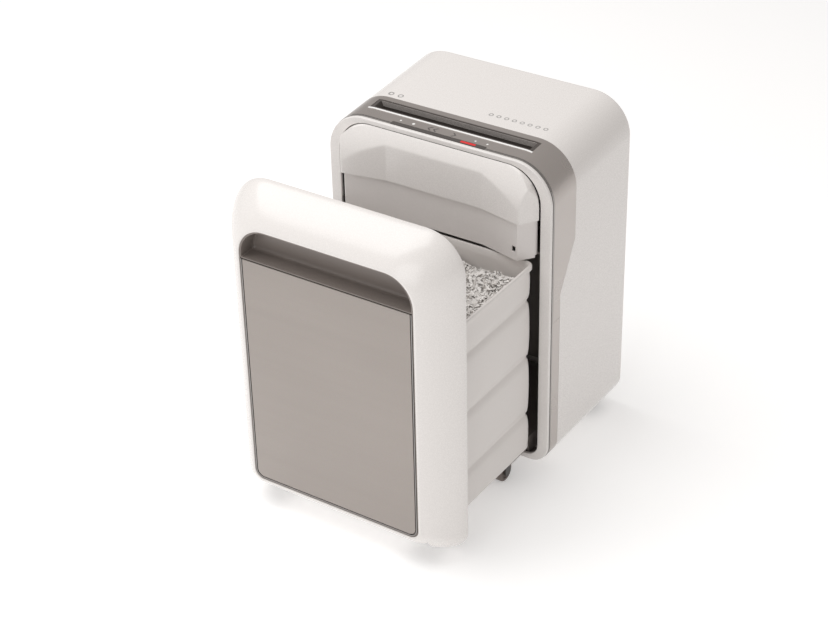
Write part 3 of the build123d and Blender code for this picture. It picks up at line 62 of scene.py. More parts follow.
# ---------------------------------------------------------------- bin front's sizes
TAB_REACH = 8 * MM          # interlock tab past the bin front's rear edge
FRONT_REAR_Y = FRONT_HI.y - TAB_REACH
FRONT_DEPTH = FRONT_REAR_Y - FRONT_LO.y
FRONT_WALL = 3 * MM
FACE_WALL = 5 * MM
FRONT_STEPS = 26            # outlines from the rear edge to the face
ARC_STEPS = 14              # of one corner of such an outline
SIDE_STEPS = 12             # of one straight side
FACE_MARGIN = 7 * MM        # from the silver panel to the edge of the bin's face
FACE_DROP = 6.5 * MM
FACE_RISE = 5 * MM
FACE_HALF_W = PANEL_HI.x + FACE_MARGIN
FACE_LOW = PANEL_LO.z - FACE_DROP
FACE_HIGH = POCKET_HI.z + FACE_RISE
FACE_R_TOP = 47 * MM
FACE_R_FOOT = 18 * MM
EDGE_R_TOP = 58 * MM        # corners of the bin front's rear edge
EDGE_R_FOOT = 30 * MM
FLARE_REACH = 0.93          # how much of a quarter round the bow goes through
FLARE_BOW = 0.5             # share of the bow in the flare, the rest being a power curve
FLARE_POWER = 1.3
CHANNEL = 3.5 * MM          # dark channel round the silver panel
CHANNEL_DEPTH = 4.6 * MM
CHANNEL_R_TOP = 43 * MM
CHANNEL_R_FOOT = 14.5 * MM
CHANNEL_GAP = 0.6 * MM      # above the pocket
LINING = (0.05 * MM, 1.5 * MM)          # outer and inner side of the channel's dark lining
LINING_SPAN = (0.8 * MM, 4.5 * MM)      # its front and back edge behind the face
PANEL_INSET = 1.3 * MM      # silver panel's sides and foot from the outline it stands for
PANEL_R_FOOT = 11 * MM
PANEL_R_TOP = 1.6 * MM
PANEL_ROUND = ((0.0, 1.2), (0.12, 0.378), (0.45, 0.1187), (0.95, 0.0009))   # inset, depth: mm
NOTCH_DEPTH = 50 * MM       # front wheel notches in the foot, from the rear edge
NOTCH_IN = 34 * MM
NOTCH_OUT = 8.5 * MM
NOTCH_FREE = 10 * MM        # how far the cutters stand past the casing
BACKING_BACK = 3.3 * MM     # dark wall behind the panel, from the face
BACKING_WALL = 1.8 * MM
BACKING_OVER = 2 * MM       # how far it goes under the frame of the face
POST_SIDES = 24
POST_FOOT = 4.8 * MM
POST_STEPS = ((8.0, 0.0), (6.4, 3.0))   # radius and height above the foot, mm
POST_TIP_R = 5.6 * MM
SCREW_HEAD_R = 3.6 * MM
TAB_X = (0.134, 0.138)
TAB_Z = (0.378, 0.384)
TAB_ROUND = 0.8 * MM
CUP_SIDE = 1.6 * MM         # pocket cup's rim past the pocket: sides, foot, top
CUP_FOOT = 0.6 * MM
CUP_TOP = 0.2 * MM
CUP_FRONT = 1.2 * MM        # behind the face
CUP_R_TOP = 42 * MM
CUP_R_FOOT = 2 * MM

# ---------------------------------------------------------------- tub and paper sizes
GROOVE_Z = (0.114, 0.211, 0.304)
GROOVE_DEPTH = 4.5 * MM
GROOVE_HALF = 7 * MM
GROOVE_SHOULDER = 1.9 * MM
GROOVE_SHAPE = ((-0.8, GROOVE_SHOULDER), (-0.35, GROOVE_DEPTH * 0.85), (0.0, GROOVE_DEPTH),
                (0.35, GROOVE_DEPTH * 0.85), (0.8, GROOVE_SHOULDER))
BULGE = 1.3 * MM
BULGE_POWER = 2.6
TUB_WALL = 2.4 * MM
TUB_R = 12 * MM
TUB_FOOT_R = 7 * MM
TUB_FLOOR = 3.5 * MM
TUB_FOOT = ((0.0, 5 * MM), (1.2 * MM, 2.2 * MM), (4 * MM, 0.6 * MM))   # height, how far in
TUB_RIM_H = 8 * MM
TUB_RIM_OUT = 2 * MM
HEAP_COLUMNS, HEAP_ROWS = 44, 32
HEAP_WAVE = 7 * MM
HEAP_SINK = 3 * MM          # how far the heap falls off at the tub's walls
HEAP_GAP = 1.2 * MM         # from its sides to the tub
SHRED_GAP = 7 * MM          # from the outermost shreds' middles to the tub
SHRED_SIZE = (12 * MM, 3.4 * MM, 0.16 * MM)
SHRED_TILT = 0.75           # radians either way
SHRED_SCALE = (0.55, 1.25)
CURL_SCALE = 95.0

# ---------------------------------------------------------------- hood's and small marks' sizes
HOOD_COLUMNS, HOOD_ROWS = 200, 60
HOOD_CORNER = 51 * MM
HOOD_WALL = 3 * MM
HOOD_SHOULDER = 17 * MM     # from its side to the shoulder, where it stands out furthest
HOOD_FACET = 85 * MM        # from its side to the flat middle
HOOD_MIDDLE = 12 * MM       # how far the flat middle stands out
HOOD_NARROWING = 0.985      # of the inner skin
HOOD_BLEND = 0.9 * MM
BOW_END = 0.86              # share of the hood's height at which the bow reaches the shoulders
BOW_POWER = 0.92
KEY_ARROWS_X = (-32 * MM, 26 * MM)      # between them lie the dark arrows of the control strip
MARK_LIFT = 0.02 * MM
MARK_FLATNESS = 0.12
PAIR_PLACES = [(-0.126, 0.1005), (-0.110, 0.1005)]
ROW_PLACES = [(0.032 + 0.0125 * n, 0.1145) for n in range(8)]
RIB_INSET = 8 * MM
RIB_SET_BACK = 2.9 * MM
RIB_DROP = 7.6 * MM


# ---------------------------------------------------------------- mesh helpers
def rounded_outline(half_w, low, high, r_low, r_high, arc=10, straight=8):
    """Points of a rounded rectangle, anticlockwise from its lower right corner."""
    corners = [(half_w - r_low, low + r_low, r_low, -90),
               (half_w - r_high, high - r_high, r_high, 0),
               (-half_w + r_high, high - r_high, r_high, 90),
               (-half_w + r_low, low + r_low, r_low, 180)]
    arcs = []
    for x, z, radius, start in corners:
        turns = [math.radians(start + 90 * step / arc) for step in range(arc + 1)]
        arcs.append([(x + radius * math.cos(turn), z + radius * math.sin(turn)) for turn in turns])
    points = []
    for number, bend in enumerate(arcs):
        points += bend
        ax, az = bend[-1]
        bx, bz = arcs[(number + 1) % 4][0]
        for step in range(1, straight):
            share = step / straight
            points.append((ax + (bx - ax) * share, az + (bz - az) * share))
    return points


def new_piece(name, verts, faces, sharp=32):
    """Mesh object with outward normals, smooth but for edges sharper than sharp degrees."""
    mesh = bpy.data.meshes.new(name)
    mesh.from_pydata([tuple(v) for v in verts], [], faces)
    shell = bmesh.new()
    shell.from_mesh(mesh)
    bmesh.ops.remove_doubles(shell, verts=shell.verts, dist=1e-6)
    bmesh.ops.recalc_face_normals(shell, faces=shell.faces)
    shell.to_mesh(mesh)
    shell.free()
    piece = bpy.data.objects.new(name, mesh)
    bpy.context.scene.collection.objects.link(piece)
    shade(piece, sharp)
    return piece


def shade(piece, sharp=32):
    """Smooth shading with sharp edges kept."""
    mesh = piece.data
    mesh.polygons.foreach_set("use_smooth", [True] * len(mesh.polygons))
    mesh.set_sharp_from_angle(angle=math.radians(sharp))


def loft(name, rings, capped=False, looped=False, sharp=32):
    """Skin over equal closed rings of 3-D points; looped joins the last ring to the first."""
    count = len(rings[0])
    verts = [point for ring in rings for point in ring]
    faces = []
    for row in range(len(rings) if looped else len(rings) - 1):
        here = row * count
        there = (row + 1) % len(rings) * count
        for step in range(count):
            after = (step + 1) % count
            faces.append((here + step, here + after, there + after, there + step))
    if capped:
        faces.append(tuple(range(count)))
        faces.append(tuple(range((len(rings) - 1) * count, len(rings) * count)))
    return new_piece(name, verts, faces, sharp)


def grid_faces(columns, rows):
    """Quads of a sheet of points laid row by row."""
    width = columns + 1
    return [(row * width + col, row * width + col + 1,
             (row + 1) * width + col + 1, (row + 1) * width + col)
            for row in range(rows) for col in range(columns)]


def grid_rim(columns, rows):
    """Points round the edge of such a sheet, in order."""
    width = columns + 1
    return (list(range(width)) + [row * width + columns for row in range(1, rows + 1)]
            + [rows * width + col for col in range(columns - 1, -1, -1)]
            + [row * width for row in range(rows - 1, 0, -1)])


def apply_modifiers(piece):
    """Turn the evaluated shape into the piece's own plain mesh."""
    graph = bpy.context.evaluated_depsgraph_get()
    graph.update()
    result = bpy.data.meshes.new_from_object(piece.evaluated_get(graph))
    piece.modifiers.clear()
    piece.data = result
    return piece


def bevelled(piece, width):
    """Round the sharp edges of a piece."""
    bevel = piece.modifiers.new("bevel", "BEVEL")
    bevel.width = width
    bevel.segments = 3
    bevel.limit_method = "ANGLE"
    bevel.angle_limit = math.radians(35)
    apply_modifiers(piece)
    shade(piece, 40)
    return piece


def bar(name, low, high):
    """Square-cornered bar between two corners, to be bevelled or joined."""
    (x0, y0, z0), (x1, y1, z1) = low, high
    verts = [(x, y, z) for x in (x0, x1) for y in (y0, y1) for z in (z0, z1)]
    faces = [(0, 1, 3, 2), (4, 6, 7, 5), (0, 4, 5, 1), (2, 3, 7, 6), (0, 2, 6, 4), (1, 5, 7, 3)]
    return new_piece(name, verts, faces)


def cut_away(piece, cutters):
    """Subtract cutters from a piece and drop them."""
    for cutter in cutters:
        knife = piece.modifiers.new("cut", "BOOLEAN")
        knife.operation = "DIFFERENCE"
        knife.solver = "EXACT"
        knife.object = cutter
    apply_modifiers(piece)
    for cutter in cutters:
        bpy.data.objects.remove(cutter, do_unlink=True)
    shade(piece)
    return piece


def joined(name, pieces):
    """One piece from several."""
    shell = bmesh.new()
    for piece in pieces:
        shell.from_mesh(piece.data)
    mesh = bpy.data.meshes.new(name)
    shell.to_mesh(mesh)
    shell.free()
    for piece in pieces:
        bpy.data.objects.remove(piece, do_unlink=True)
    whole = bpy.data.objects.new(name, mesh)
    bpy.context.scene.collection.objects.link(whole)
    shade(whole)
    return whole


def settle(piece, body, slot, finish, *stands_for):
    """Give a finished piece its material and hang it on its body."""
    piece.data.materials.clear()
    piece.data.materials.append(finish)
    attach(piece, body)
    if stands_for:
        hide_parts(*stands_for)
    return piece


# ---------------------------------------------------------------- materials
NOISE_LOW, NOISE_HIGH = 0.2, 0.8        # the span of a noise pattern that is used
GRAIN_HEIGHT = 0.2 * MM
COAT_ROUGH = 0.12
FLAKE_SCALE = 2600
FLAKE_SHARE = 0.10
PRINT_SCALE = 230
PRINT_EDGE = 0.03                       # softness of the edge of a scrap of print


def blank_material(name):
    """Material with only its output and principled shader."""
    material = bpy.data.materials.new(name)
    material.use_nodes = True
    shader = material.node_tree.nodes["Principled BSDF"]
    return material, material.node_tree.nodes, material.node_tree.links, shader


def noise_pattern(nodes, links, scale, detail, stretch=(1, 1, 1)):
    """Noise on object coordinates, stretched where the finish has a grain."""
    place = nodes.new("ShaderNodeTexCoord")
    mapping = nodes.new("ShaderNodeMapping")
    mapping.inputs["Scale"].default_value = stretch
    links.new(place.outputs["Object"], mapping.inputs["Vector"])
    noise = nodes.new("ShaderNodeTexNoise")
    noise.inputs["Scale"].default_value = scale
    noise.inputs["Detail"].default_value = detail
    links.new(mapping.outputs["Vector"], noise.inputs["Vector"])
    return noise


def tone_between(nodes, links, source, dark, light):
    """Smooth change between two tones of one colour."""
    share = level_between(nodes, links, source, 0.0, 1.0)
    blend = nodes.new("ShaderNodeMixRGB")
    blend.inputs["Color1"].default_value = (*dark, 1)
    blend.inputs["Color2"].default_value = (*light, 1)
    links.new(share.outputs["Result"], blend.inputs["Fac"])
    return blend


def level_between(nodes, links, source, low, high):
    """Number that follows a pattern between two levels."""
    level = nodes.new("ShaderNodeMapRange")
    level.inputs["From Min"].default_value = NOISE_LOW
    level.inputs["From Max"].default_value = NOISE_HIGH
    level.inputs["To Min"].default_value = low
    level.inputs["To Max"].default_value = high
    links.new(source, level.inputs["Value"])
    return level


def moulded(name, colour, rough=0.35, spread=0.08, shift=0.05, metallic=0.0, patch=14,
            grain=1400, grain_depth=0.06, stretch=(1, 1, 1), coat=0.0):
    """Moulded, painted or metal finish: uneven tone, uneven gloss and a fine surface grain."""
    material, nodes, links, shader = blank_material(name)
    clouds = noise_pattern(nodes, links, patch, 1.0)
    dark = [channel * (1 - shift) for channel in colour]
    light = [min(1.0, channel * (1 + shift * 0.5)) for channel in colour]
    tone = tone_between(nodes, links, clouds.outputs["Fac"], dark, light)
    links.new(tone.outputs["Color"], shader.inputs["Base Color"])
    smear = noise_pattern(nodes, links, patch * 3, 1.5, stretch)
    gloss = level_between(nodes, links, smear.outputs["Fac"], rough - spread, rough + spread)
    links.new(gloss.outputs["Result"], shader.inputs["Roughness"])
    texture = noise_pattern(nodes, links, grain, 2, stretch)
    bump = nodes.new("ShaderNodeBump")
    bump.inputs["Strength"].default_value = grain_depth
    bump.inputs["Distance"].default_value = GRAIN_HEIGHT
    links.new(texture.outputs["Fac"], bump.inputs["Height"])
    links.new(bump.outputs["Normal"], shader.inputs["Normal"])
    shader.inputs["Metallic"].default_value = metallic
    shader.inputs["Coat Weight"].default_value = coat
    shader.inputs["Coat Roughness"].default_value = COAT_ROUGH
    return material


def metallic_paint(name, colour, rough, stretch):
    """Satin silver: fine flakes over a faint one-way grain."""
    material = moulded(name, colour, rough, spread=0.05, shift=0.04, metallic=0.82, patch=5,
                       grain=700, grain_depth=0.05, stretch=stretch)
    nodes = material.node_tree.nodes
    links = material.node_tree.links
    shader = nodes["Principled BSDF"]
    flakes = nodes.new("ShaderNodeTexVoronoi")
    flakes.inputs["Scale"].default_value = FLAKE_SCALE
    place = nodes.new("ShaderNodeTexCoord")
    links.new(place.outputs["Object"], flakes.inputs["Vector"])
    blend = nodes.new("ShaderNodeMixRGB")
    blend.blend_type = "MULTIPLY"
    blend.inputs["Fac"].default_value = FLAKE_SHARE
    tone = shader.inputs["Base Color"].links[0].from_socket
    links.new(tone, blend.inputs["Color1"])
    links.new(flakes.outputs["Color"], blend.inputs["Color2"])
    links.new(blend.outputs["Color"], shader.inputs["Base Color"])
    return material


def printed_paper(name, sheet, ink, cover):
    """Cut paper with scraps of print; a higher cover leaves fewer scraps."""
    material = moulded(name, sheet, 0.75, shift=0.06, patch=90, grain=500, grain_depth=0.2)
    nodes = material.node_tree.nodes
    links = material.node_tree.links
    shader = nodes["Principled BSDF"]
    scraps = noise_pattern(nodes, links, PRINT_SCALE, 4)
    mask = nodes.new("ShaderNodeMapRange")
    mask.inputs["From Min"].default_value = cover
    mask.inputs["From Max"].default_value = cover + PRINT_EDGE
    links.new(scraps.outputs["Fac"], mask.inputs["Value"])
    blend = nodes.new("ShaderNodeMixRGB")
    blend.inputs["Color2"].default_value = (*ink, 1)
    tone = shader.inputs["Base Color"].links[0].from_socket
    links.new(mask.outputs["Result"], blend.inputs["Fac"])
    links.new(tone, blend.inputs["Color1"])
    links.new(blend.outputs["Color"], shader.inputs["Base Color"])
    return material


def lit_lens(name, colour, strength):
    """Coloured lens with a lamp behind it."""
    material = moulded(name, colour, 0.18, 0.05, 0.1, patch=60, grain=900, grain_depth=0.03)
    shader = material.node_tree.nodes["Principled BSDF"]
    shader.inputs["Emission Color"].default_value = (*colour, 1)
    shader.inputs["Emission Strength"].default_value = strength
    return material


FINISH = {
    "white_plastic": moulded("warm_white_gloss", (0.80, 0.77, 0.748), 0.27, 0.03, 0.02, patch=300,
                             grain=70, grain_depth=0.01, coat=0.2),
    "bin_white": moulded("tub_white_satin", (0.73, 0.695, 0.67), 0.40, 0.03, 0.015, patch=300,
                         grain=90, grain_depth=0.02),
    "silver_cover": metallic_paint("silver_cover_paint", (0.52, 0.48, 0.455), 0.30, (1, 1, 1)),
    "silver_panel": metallic_paint("silver_panel_paint", (0.375, 0.34, 0.315), 0.36, (0.15, 1, 6)),
    "bright_trim": moulded("bright_chrome", (0.36, 0.345, 0.335), 0.12, 0.03, 0.02, 1.0, 20, 900,
                           0.02),
    "dark_gloss": moulded("smoked_window", (0.075, 0.065, 0.06), 0.16, 0.04, 0.2, coat=0.3),
    "pocket_grey": moulded("warm_grey_satin", (0.215, 0.185, 0.168), 0.32, 0.04, 0.05, patch=8,
                           grain_depth=0.03),
    "red_lamp": lit_lens("red_lens", (0.62, 0.02, 0.02), 0.25),
    "pale_mark": moulded("pale_light_guide", (0.88, 0.87, 0.85), 0.3, 0.05, 0.03),
    "frame_steel": moulded("zinc_plated_steel", (0.55, 0.55, 0.53), 0.32, 0.1, 0.12, 1.0, 40, 300,
                           0.15, (1, 8, 1)),
    "tool_steel": moulded("hardened_steel", (0.36, 0.36, 0.37), 0.3, 0.1, 0.15, 1.0, 60, 500, 0.15,
                          (6, 1, 1)),
    "bronze": moulded("sintered_bronze", (0.55, 0.36, 0.17), 0.42, 0.08, 0.15, 1.0, 90, 1500, 0.3),
    "gear_nylon": moulded("natural_nylon", (0.78, 0.74, 0.65), 0.45, 0.06, 0.05),
    "black_plastic": moulded("black_satin_plastic", (0.06, 0.055, 0.052), 0.4, 0.08, 0.2),
    "inner_grey": moulded("inner_grey_plastic", (0.30, 0.27, 0.25), 0.5, 0.06, 0.05),
    "motor_steel": moulded("black_motor_paint", (0.09, 0.09, 0.095), 0.38, 0.08, 0.2, 0.3),
    "board_green": moulded("solder_mask", (0.03, 0.16, 0.07), 0.3, 0.08, 0.25, 0.0, 180),
    "wheel_rubber": moulded("warm_grey_rubber", (0.16, 0.13, 0.115), 0.55, 0.1, 0.15, 0.0, 120,
                            800, 0.3),
    "screw_steel": moulded("screw_zinc", (0.6, 0.6, 0.58), 0.28, 0.1, 0.12, 1.0, 120, 900, 0.1),
    "cut_paper": printed_paper("printed_cut_paper", (0.80, 0.775, 0.75), (0.10, 0.09, 0.085), 0.62),
}
DARK_MARK = moulded("dark_key_ink", (0.12, 0.11, 0.105), 0.4, 0.06, 0.15)
GREY_MARK = moulded("pale_grey_ink", (0.42, 0.41, 0.40), 0.45, 0.06, 0.1)
# painted shade: the throat insert is coloured near black for the shadow deep in the slot
THROAT_PAINTED_SHADE = moulded("throat_painted_shade", (0.075, 0.064, 0.058), 0.4, 0.05, 0.1)
# painted highlight: the chrome slot lip is coloured near white for the bright line along its edge
LIP_PAINTED_HIGHLIGHT = moulded("lip_painted_highlight", (0.95, 0.94, 0.93), 0.2, 0.03, 0.02, 0.0, 20, 900, 0.02)
# painted shade: the cutter guard is a darker white than the hood for the shade under the hood's lip
GUARD_PAINTED_SHADE = moulded("guard_white_painted_shade", (0.74, 0.705, 0.685), 0.36, 0.03, 0.02, patch=300,
                      grain=70, grain_depth=0.01)
# these three nodes take painted shade or a painted highlight in place of their slot's finish
PAINTED_LIGHT_FINISH = {"throat_insert": THROAT_PAINTED_SHADE, "slot_lip": LIP_PAINTED_HIGHLIGHT, "cutter_guard": GUARD_PAINTED_SHADE}
RIB_GREY = moulded("rib_grey", (0.42, 0.39, 0.37), 0.34, 0.05, 0.06)
WELD_REACH = 2e-5
# width of the rounded edges of frame nodes that stay visible, mm
EDGES = {"front_ring": 1.3, "cabinet_shell": 0.9, "head_cover": 0.5, "lower_strip": 0.5,
         "cutter_guard": 0.9}


def soften(node, width):
    """Weld a frame node's copies of shared corners, round its edges and even out its shading."""
    weld = node.modifiers.new("weld", "WELD")
    weld.merge_threshold = WELD_REACH
    bevel = node.modifiers.new("edges", "BEVEL")
    bevel.width = width * MM
    bevel.segments = 2
    bevel.limit_method = "ANGLE"
    bevel.angle_limit = math.radians(50)
    bevel.use_clamp_overlap = True
    facing = node.modifiers.new("facing", "WEIGHTED_NORMAL")
    facing.mode = "FACE_AREA"
    facing.weight = 100
    facing.keep_sharp = False


def ink_key_marks():
    """Dark arrows between the pale dots of the control strip."""
    marks = frame["nodes"]["touch_key_marks"]
    marks.data.materials.append(DARK_MARK)
    for face in marks.data.polygons:
        dark = KEY_ARROWS_X[0] < face.center.x < KEY_ARROWS_X[1]
        face.material_index = 1 if dark else 0


def dress_frame():
    """Give every node that stays visible its finish; throat insert, slot lip and cutter guard get
    painted shade or a painted highlight instead.
    """
    for row in frame["record"]["subparts"]:
        node = frame["nodes"][row["node"]]
        node.data.materials.clear()
        node.data.materials.append(PAINTED_LIGHT_FINISH.get(row["node"], FINISH[row["material_slot"]]))
        if row["node"] in EDGES:
            soften(node, EDGES[row["node"]])
    ink_key_marks()


# ---------------------------------------------------------------- geometry nodes
class Tree:
    """Geometry node tree with named inputs, ending in real, finished meshes."""

    def __init__(self, name, sizes):
        self.group = bpy.data.node_groups.new(name, "GeometryNodeTree")
        face = self.group.interface
        face.new_socket("Geometry", in_out="INPUT", socket_type="NodeSocketGeometry")
        self.keys = {}
        for label, value in sizes.items():
            kind = "NodeSocketInt" if isinstance(value, int) else "NodeSocketFloat"
            self.keys[label] = face.new_socket(label, in_out="INPUT", socket_type=kind).identifier
        face.new_socket("Geometry", in_out="OUTPUT", socket_type="NodeSocketGeometry")
        self.sizes = sizes
        self.start = self.group.nodes.new("NodeGroupInput")

    def node(self, kind, settings=None, **links):
        """Add a node; links maps an input's name to a value or to another node's output."""
        made = self.group.nodes.new(kind)
        for label, value in (settings or {}).items():
            setattr(made, label, value)
        for label, value in links.items():
            socket = made.inputs[label.replace("_", " ")]
            if isinstance(value, bpy.types.NodeSocket):
                self.group.links.new(value, socket)
            else:
                socket.default_value = value
        return made

    def grow(self, host, geometry, finish):
        """Close the tree and turn what it grows on host into host's plain mesh."""
        real = self.node("GeometryNodeRealizeInstances", Geometry=geometry)
        dressed = self.node("GeometryNodeSetMaterial", Geometry=real.outputs[0], Material=finish)
        end = self.group.nodes.new("NodeGroupOutput")
        self.group.links.new(dressed.outputs[0], end.inputs[0])
        modifier = host.modifiers.new(self.group.name, "NODES")
        modifier.node_group = self.group
        for label, value in self.sizes.items():
            modifier[self.keys[label]] = value
        return apply_modifiers(host)


# ---------------------------------------------------------------- bin
def flare(share):
    """How far the bin front has turned in, from 0 at its rear edge to 1 at its face."""
    bow = 1 - math.sqrt(1 - (FLARE_REACH * share) ** 2)
    bow /= 1 - math.sqrt(1 - FLARE_REACH ** 2)
    return FLARE_BOW * bow + (1 - FLARE_BOW) * share ** FLARE_POWER


def front_ring_points(depth, full_depth, inset):
    """Outline of the bin front at a depth from its rear edge."""
    turn = flare(depth / full_depth)

    def between(start, end):
        return start + (end - start) * turn
    outline = rounded_outline(between(FRONT_HI.x, FACE_HALF_W) - inset,
                              between(FRONT_LO.z, FACE_LOW) + inset,
                              between(FRONT_HI.z, FACE_HIGH) - inset,
                              between(EDGE_R_FOOT, FACE_R_FOOT) - inset,
                              between(EDGE_R_TOP, FACE_R_TOP) - inset, ARC_STEPS, SIDE_STEPS)
    return [(x, FRONT_REAR_Y - depth, z) for x, z in outline]


def face_ring(inset, depth):
    """Outline of the opening in the bin's face, at a depth behind the face."""
    outline = rounded_outline(PANEL_HI.x + CHANNEL + inset, PANEL_LO.z - CHANNEL - inset,
                              POCKET_HI.z + CHANNEL_GAP + inset, CHANNEL_R_FOOT + inset,
                              CHANNEL_R_TOP + inset, ARC_STEPS, SIDE_STEPS)
    return [(x, FRONT_LO.y + depth, z) for x, z in outline]


def bin_casing():
    """White front of the bin: a deep dish with a framed opening for panel and pocket."""
    shares = [math.sin(math.pi / 2 * step / FRONT_STEPS) for step in range(FRONT_STEPS + 1)]
    outer = [front_ring_points(FRONT_DEPTH * share, FRONT_DEPTH, 0) for share in shares]
    lip = [front_ring_points(0, FRONT_DEPTH, edge) for edge in (2.6 * MM, 0.5 * MM)]
    face = [face_ring(1.0 * MM, 0), face_ring(0.3 * MM, 0.25 * MM), face_ring(0, 1.0 * MM),
            face_ring(0, CHANNEL_DEPTH)]
    inside_depth = FRONT_DEPTH - FACE_WALL
    inner = [front_ring_points(inside_depth * share, inside_depth, FRONT_WALL)
             for share in reversed(shares)]
    casing = loft("bin_casing", lip + outer[1:] + face + inner, looped=True, sharp=50)
    wheel_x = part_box("front_wheel_brackets")[1].x
    notches = []
    for sign in (-1, 1):
        x0, x1 = sorted((sign * (wheel_x - NOTCH_IN), sign * (wheel_x + NOTCH_OUT)))
        notches.append(bar("notch", (x0, FRONT_REAR_Y - NOTCH_DEPTH, -NOTCH_FREE),
                           (x1, FRONT_REAR_Y + NOTCH_FREE, TUB_LO.z - 1 * MM)))
    return cut_away(casing, notches)


def channel_lining():
    """Dark lining of the channel round the panel and the pocket."""
    outer, inner = LINING
    front, back = LINING_SPAN
    rings = [face_ring(-side, depth) for side, depth in
             ((outer, front), (outer, back), (inner, back), (inner, front))]
    return loft("channel_lining", rings, looped=True)


def panel_backing():
    """Dark wall behind the silver panel."""
    over = CHANNEL + BACKING_OVER
    outline = rounded_outline(PANEL_HI.x + over, PANEL_LO.z - over, POCKET_LO.z - 0.2 * MM,
                              15 * MM, 2 * MM)
    front = FRONT_LO.y + BACKING_BACK
    return loft("backing", [[(x, y, z) for x, z in outline]
                            for y in (front, front + BACKING_WALL)], capped=True)


def tub_posts():
    """Screw posts and interlock tab behind the bin's face."""
    screw_lo, screw_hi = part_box("bin_screws")
    places = [(x, z) for x in (screw_lo.x + SCREW_HEAD_R, screw_hi.x - SCREW_HEAD_R)
              for z in (screw_lo.z + SCREW_HEAD_R, screw_hi.z - SCREW_HEAD_R)]
    foot = FRONT_LO.y + POST_FOOT
    levels = [(radius * MM, foot + height * MM) for radius, height in POST_STEPS]
    turns = [2 * math.pi * step / POST_SIDES for step in range(POST_SIDES)]
    posts = []
    for x, z in places:
        rings = [[(x + radius * math.cos(turn), y, z + radius * math.sin(turn)) for turn in turns]
                 for radius, y in levels + [(POST_TIP_R, TUB_LO.y)]]
        posts.append(loft("post", rings, capped=True))
    tab = bar("tab", (TAB_X[0], foot, TAB_Z[0]), (TAB_X[1], FRONT_HI.y, TAB_Z[1]))
    return joined("tub_posts", posts + [bevelled(tab, TAB_ROUND)])


def silver_panel():
    """Flat silver panel with softly rounded edges."""
    levels = [(0.0, PANEL_HI.y)]
    levels += [(inset * MM, PANEL_LO.y + depth * MM) for inset, depth in PANEL_ROUND]
    rings = []
    for inset, y in levels:
        side = inset + PANEL_INSET
        outline = rounded_outline(PANEL_HI.x - side, PANEL_LO.z + side, PANEL_HI.z - inset,
                                  PANEL_R_FOOT - inset, PANEL_R_TOP - inset, 12, 6)
        rings.append([(x, y, z) for x, z in outline])
    return loft("silver_panel", rings, capped=True, sharp=25)


def pocket_cup():
    """Hand recess: a smooth dark cup."""
    half_w = POCKET_HI.x + CUP_SIDE
    low = POCKET_LO.z - CUP_FOOT
    high = POCKET_HI.z - CUP_TOP
    front = FRONT_LO.y + CUP_FRONT
    back = POCKET_HI.y
    rings = []

    def ring(inset, y):
        room = high - low - 2 * inset
        outline = rounded_outline(half_w - inset, low + inset, high - inset, CUP_R_FOOT,
                                  min(CUP_R_TOP - inset, room - 2 * CUP_R_FOOT), 12, 8)
        rings.append([(x, y, z) for x, z in outline])
    ring(2.0 * MM, back)
    ring(0.0, back - 3 * MM)
    ring(0.0, front)
    ring(1.4 * MM, front)
    floor_y = back - 2 * MM
    for share in (0.03, 0.3, 0.6, 0.85):
        ring(1.5 * MM + 1.5 * MM * share, front + (floor_y - front) * share)
    for turn in (0, 25, 50, 75, 90):
        bend = math.radians(turn)
        ring(3 * MM + 4 * MM * (1 - math.cos(bend)), floor_y - 4 * MM * (1 - math.sin(bend)))
    ring(9 * MM, floor_y)
    return loft("pocket_cup", rings, capped=True, sharp=50)


def tub_profile():
    """Outer side of the tub from the foot up, as (height, how far it stands in)."""
    points = [(TUB_LO.z + height, inset) for height, inset in TUB_FOOT]
    foot = points[-1][0]
    for groove in GROOVE_Z + (TUB_HI.z - TUB_RIM_H,):
        top = groove - GROOVE_HALF if groove in GROOVE_Z else groove
        for share in (0.1, 0.3, 0.5, 0.7, 0.9):
            points.append((foot + (top - foot) * share, BULGE * abs(2 * share - 1) ** BULGE_POWER))
        if groove in GROOVE_Z:
            points += [(groove + GROOVE_HALF * step, depth) for step, depth in GROOVE_SHAPE]
            foot = groove + GROOVE_HALF
    return points


def ribbed_tub():
    """Thin-walled tub whose sides bulge between its grooves."""
    def ring(z, inset, radius):
        half_w = TUB_HI.x - TUB_RIM_OUT - inset
        outline = rounded_outline(half_w, TUB_LO.y + TUB_RIM_OUT + inset,
                                  TUB_HI.y - TUB_RIM_OUT - inset, radius, radius, 8, 10)
        return [(x, y, z) for x, y in outline]
    rings = [ring(z, inset, TUB_R - inset) for z, inset in tub_profile()]
    rim = TUB_HI.z - TUB_RIM_H
    for z, out in ((rim + 0.1 * MM, 0.2), (rim + 0.6 * MM, 1.6), (rim + 1.4 * MM, 2.0),
                   (TUB_HI.z - 1.4 * MM, 2.0), (TUB_HI.z - 0.5 * MM, 1.6), (TUB_HI.z, 0.6)):
        rings.append(ring(z, -out * MM, TUB_R))
    rings.append(ring(TUB_HI.z, 1.6 * MM, 10 * MM))
    rings.append(ring(TUB_HI.z - 1.0 * MM, TUB_WALL, 9 * MM))
    for z, inset in reversed(tub_profile()[len(TUB_FOOT):]):
        rings.append(ring(max(z, TUB_LO.z + 6 * MM), inset + TUB_WALL, 9 * MM - inset))
    rings.append(ring(TUB_LO.z + TUB_FLOOR, TUB_WALL + 3 * MM, TUB_FOOT_R))
    return loft("ribbed_tub", rings, capped=True, sharp=45)


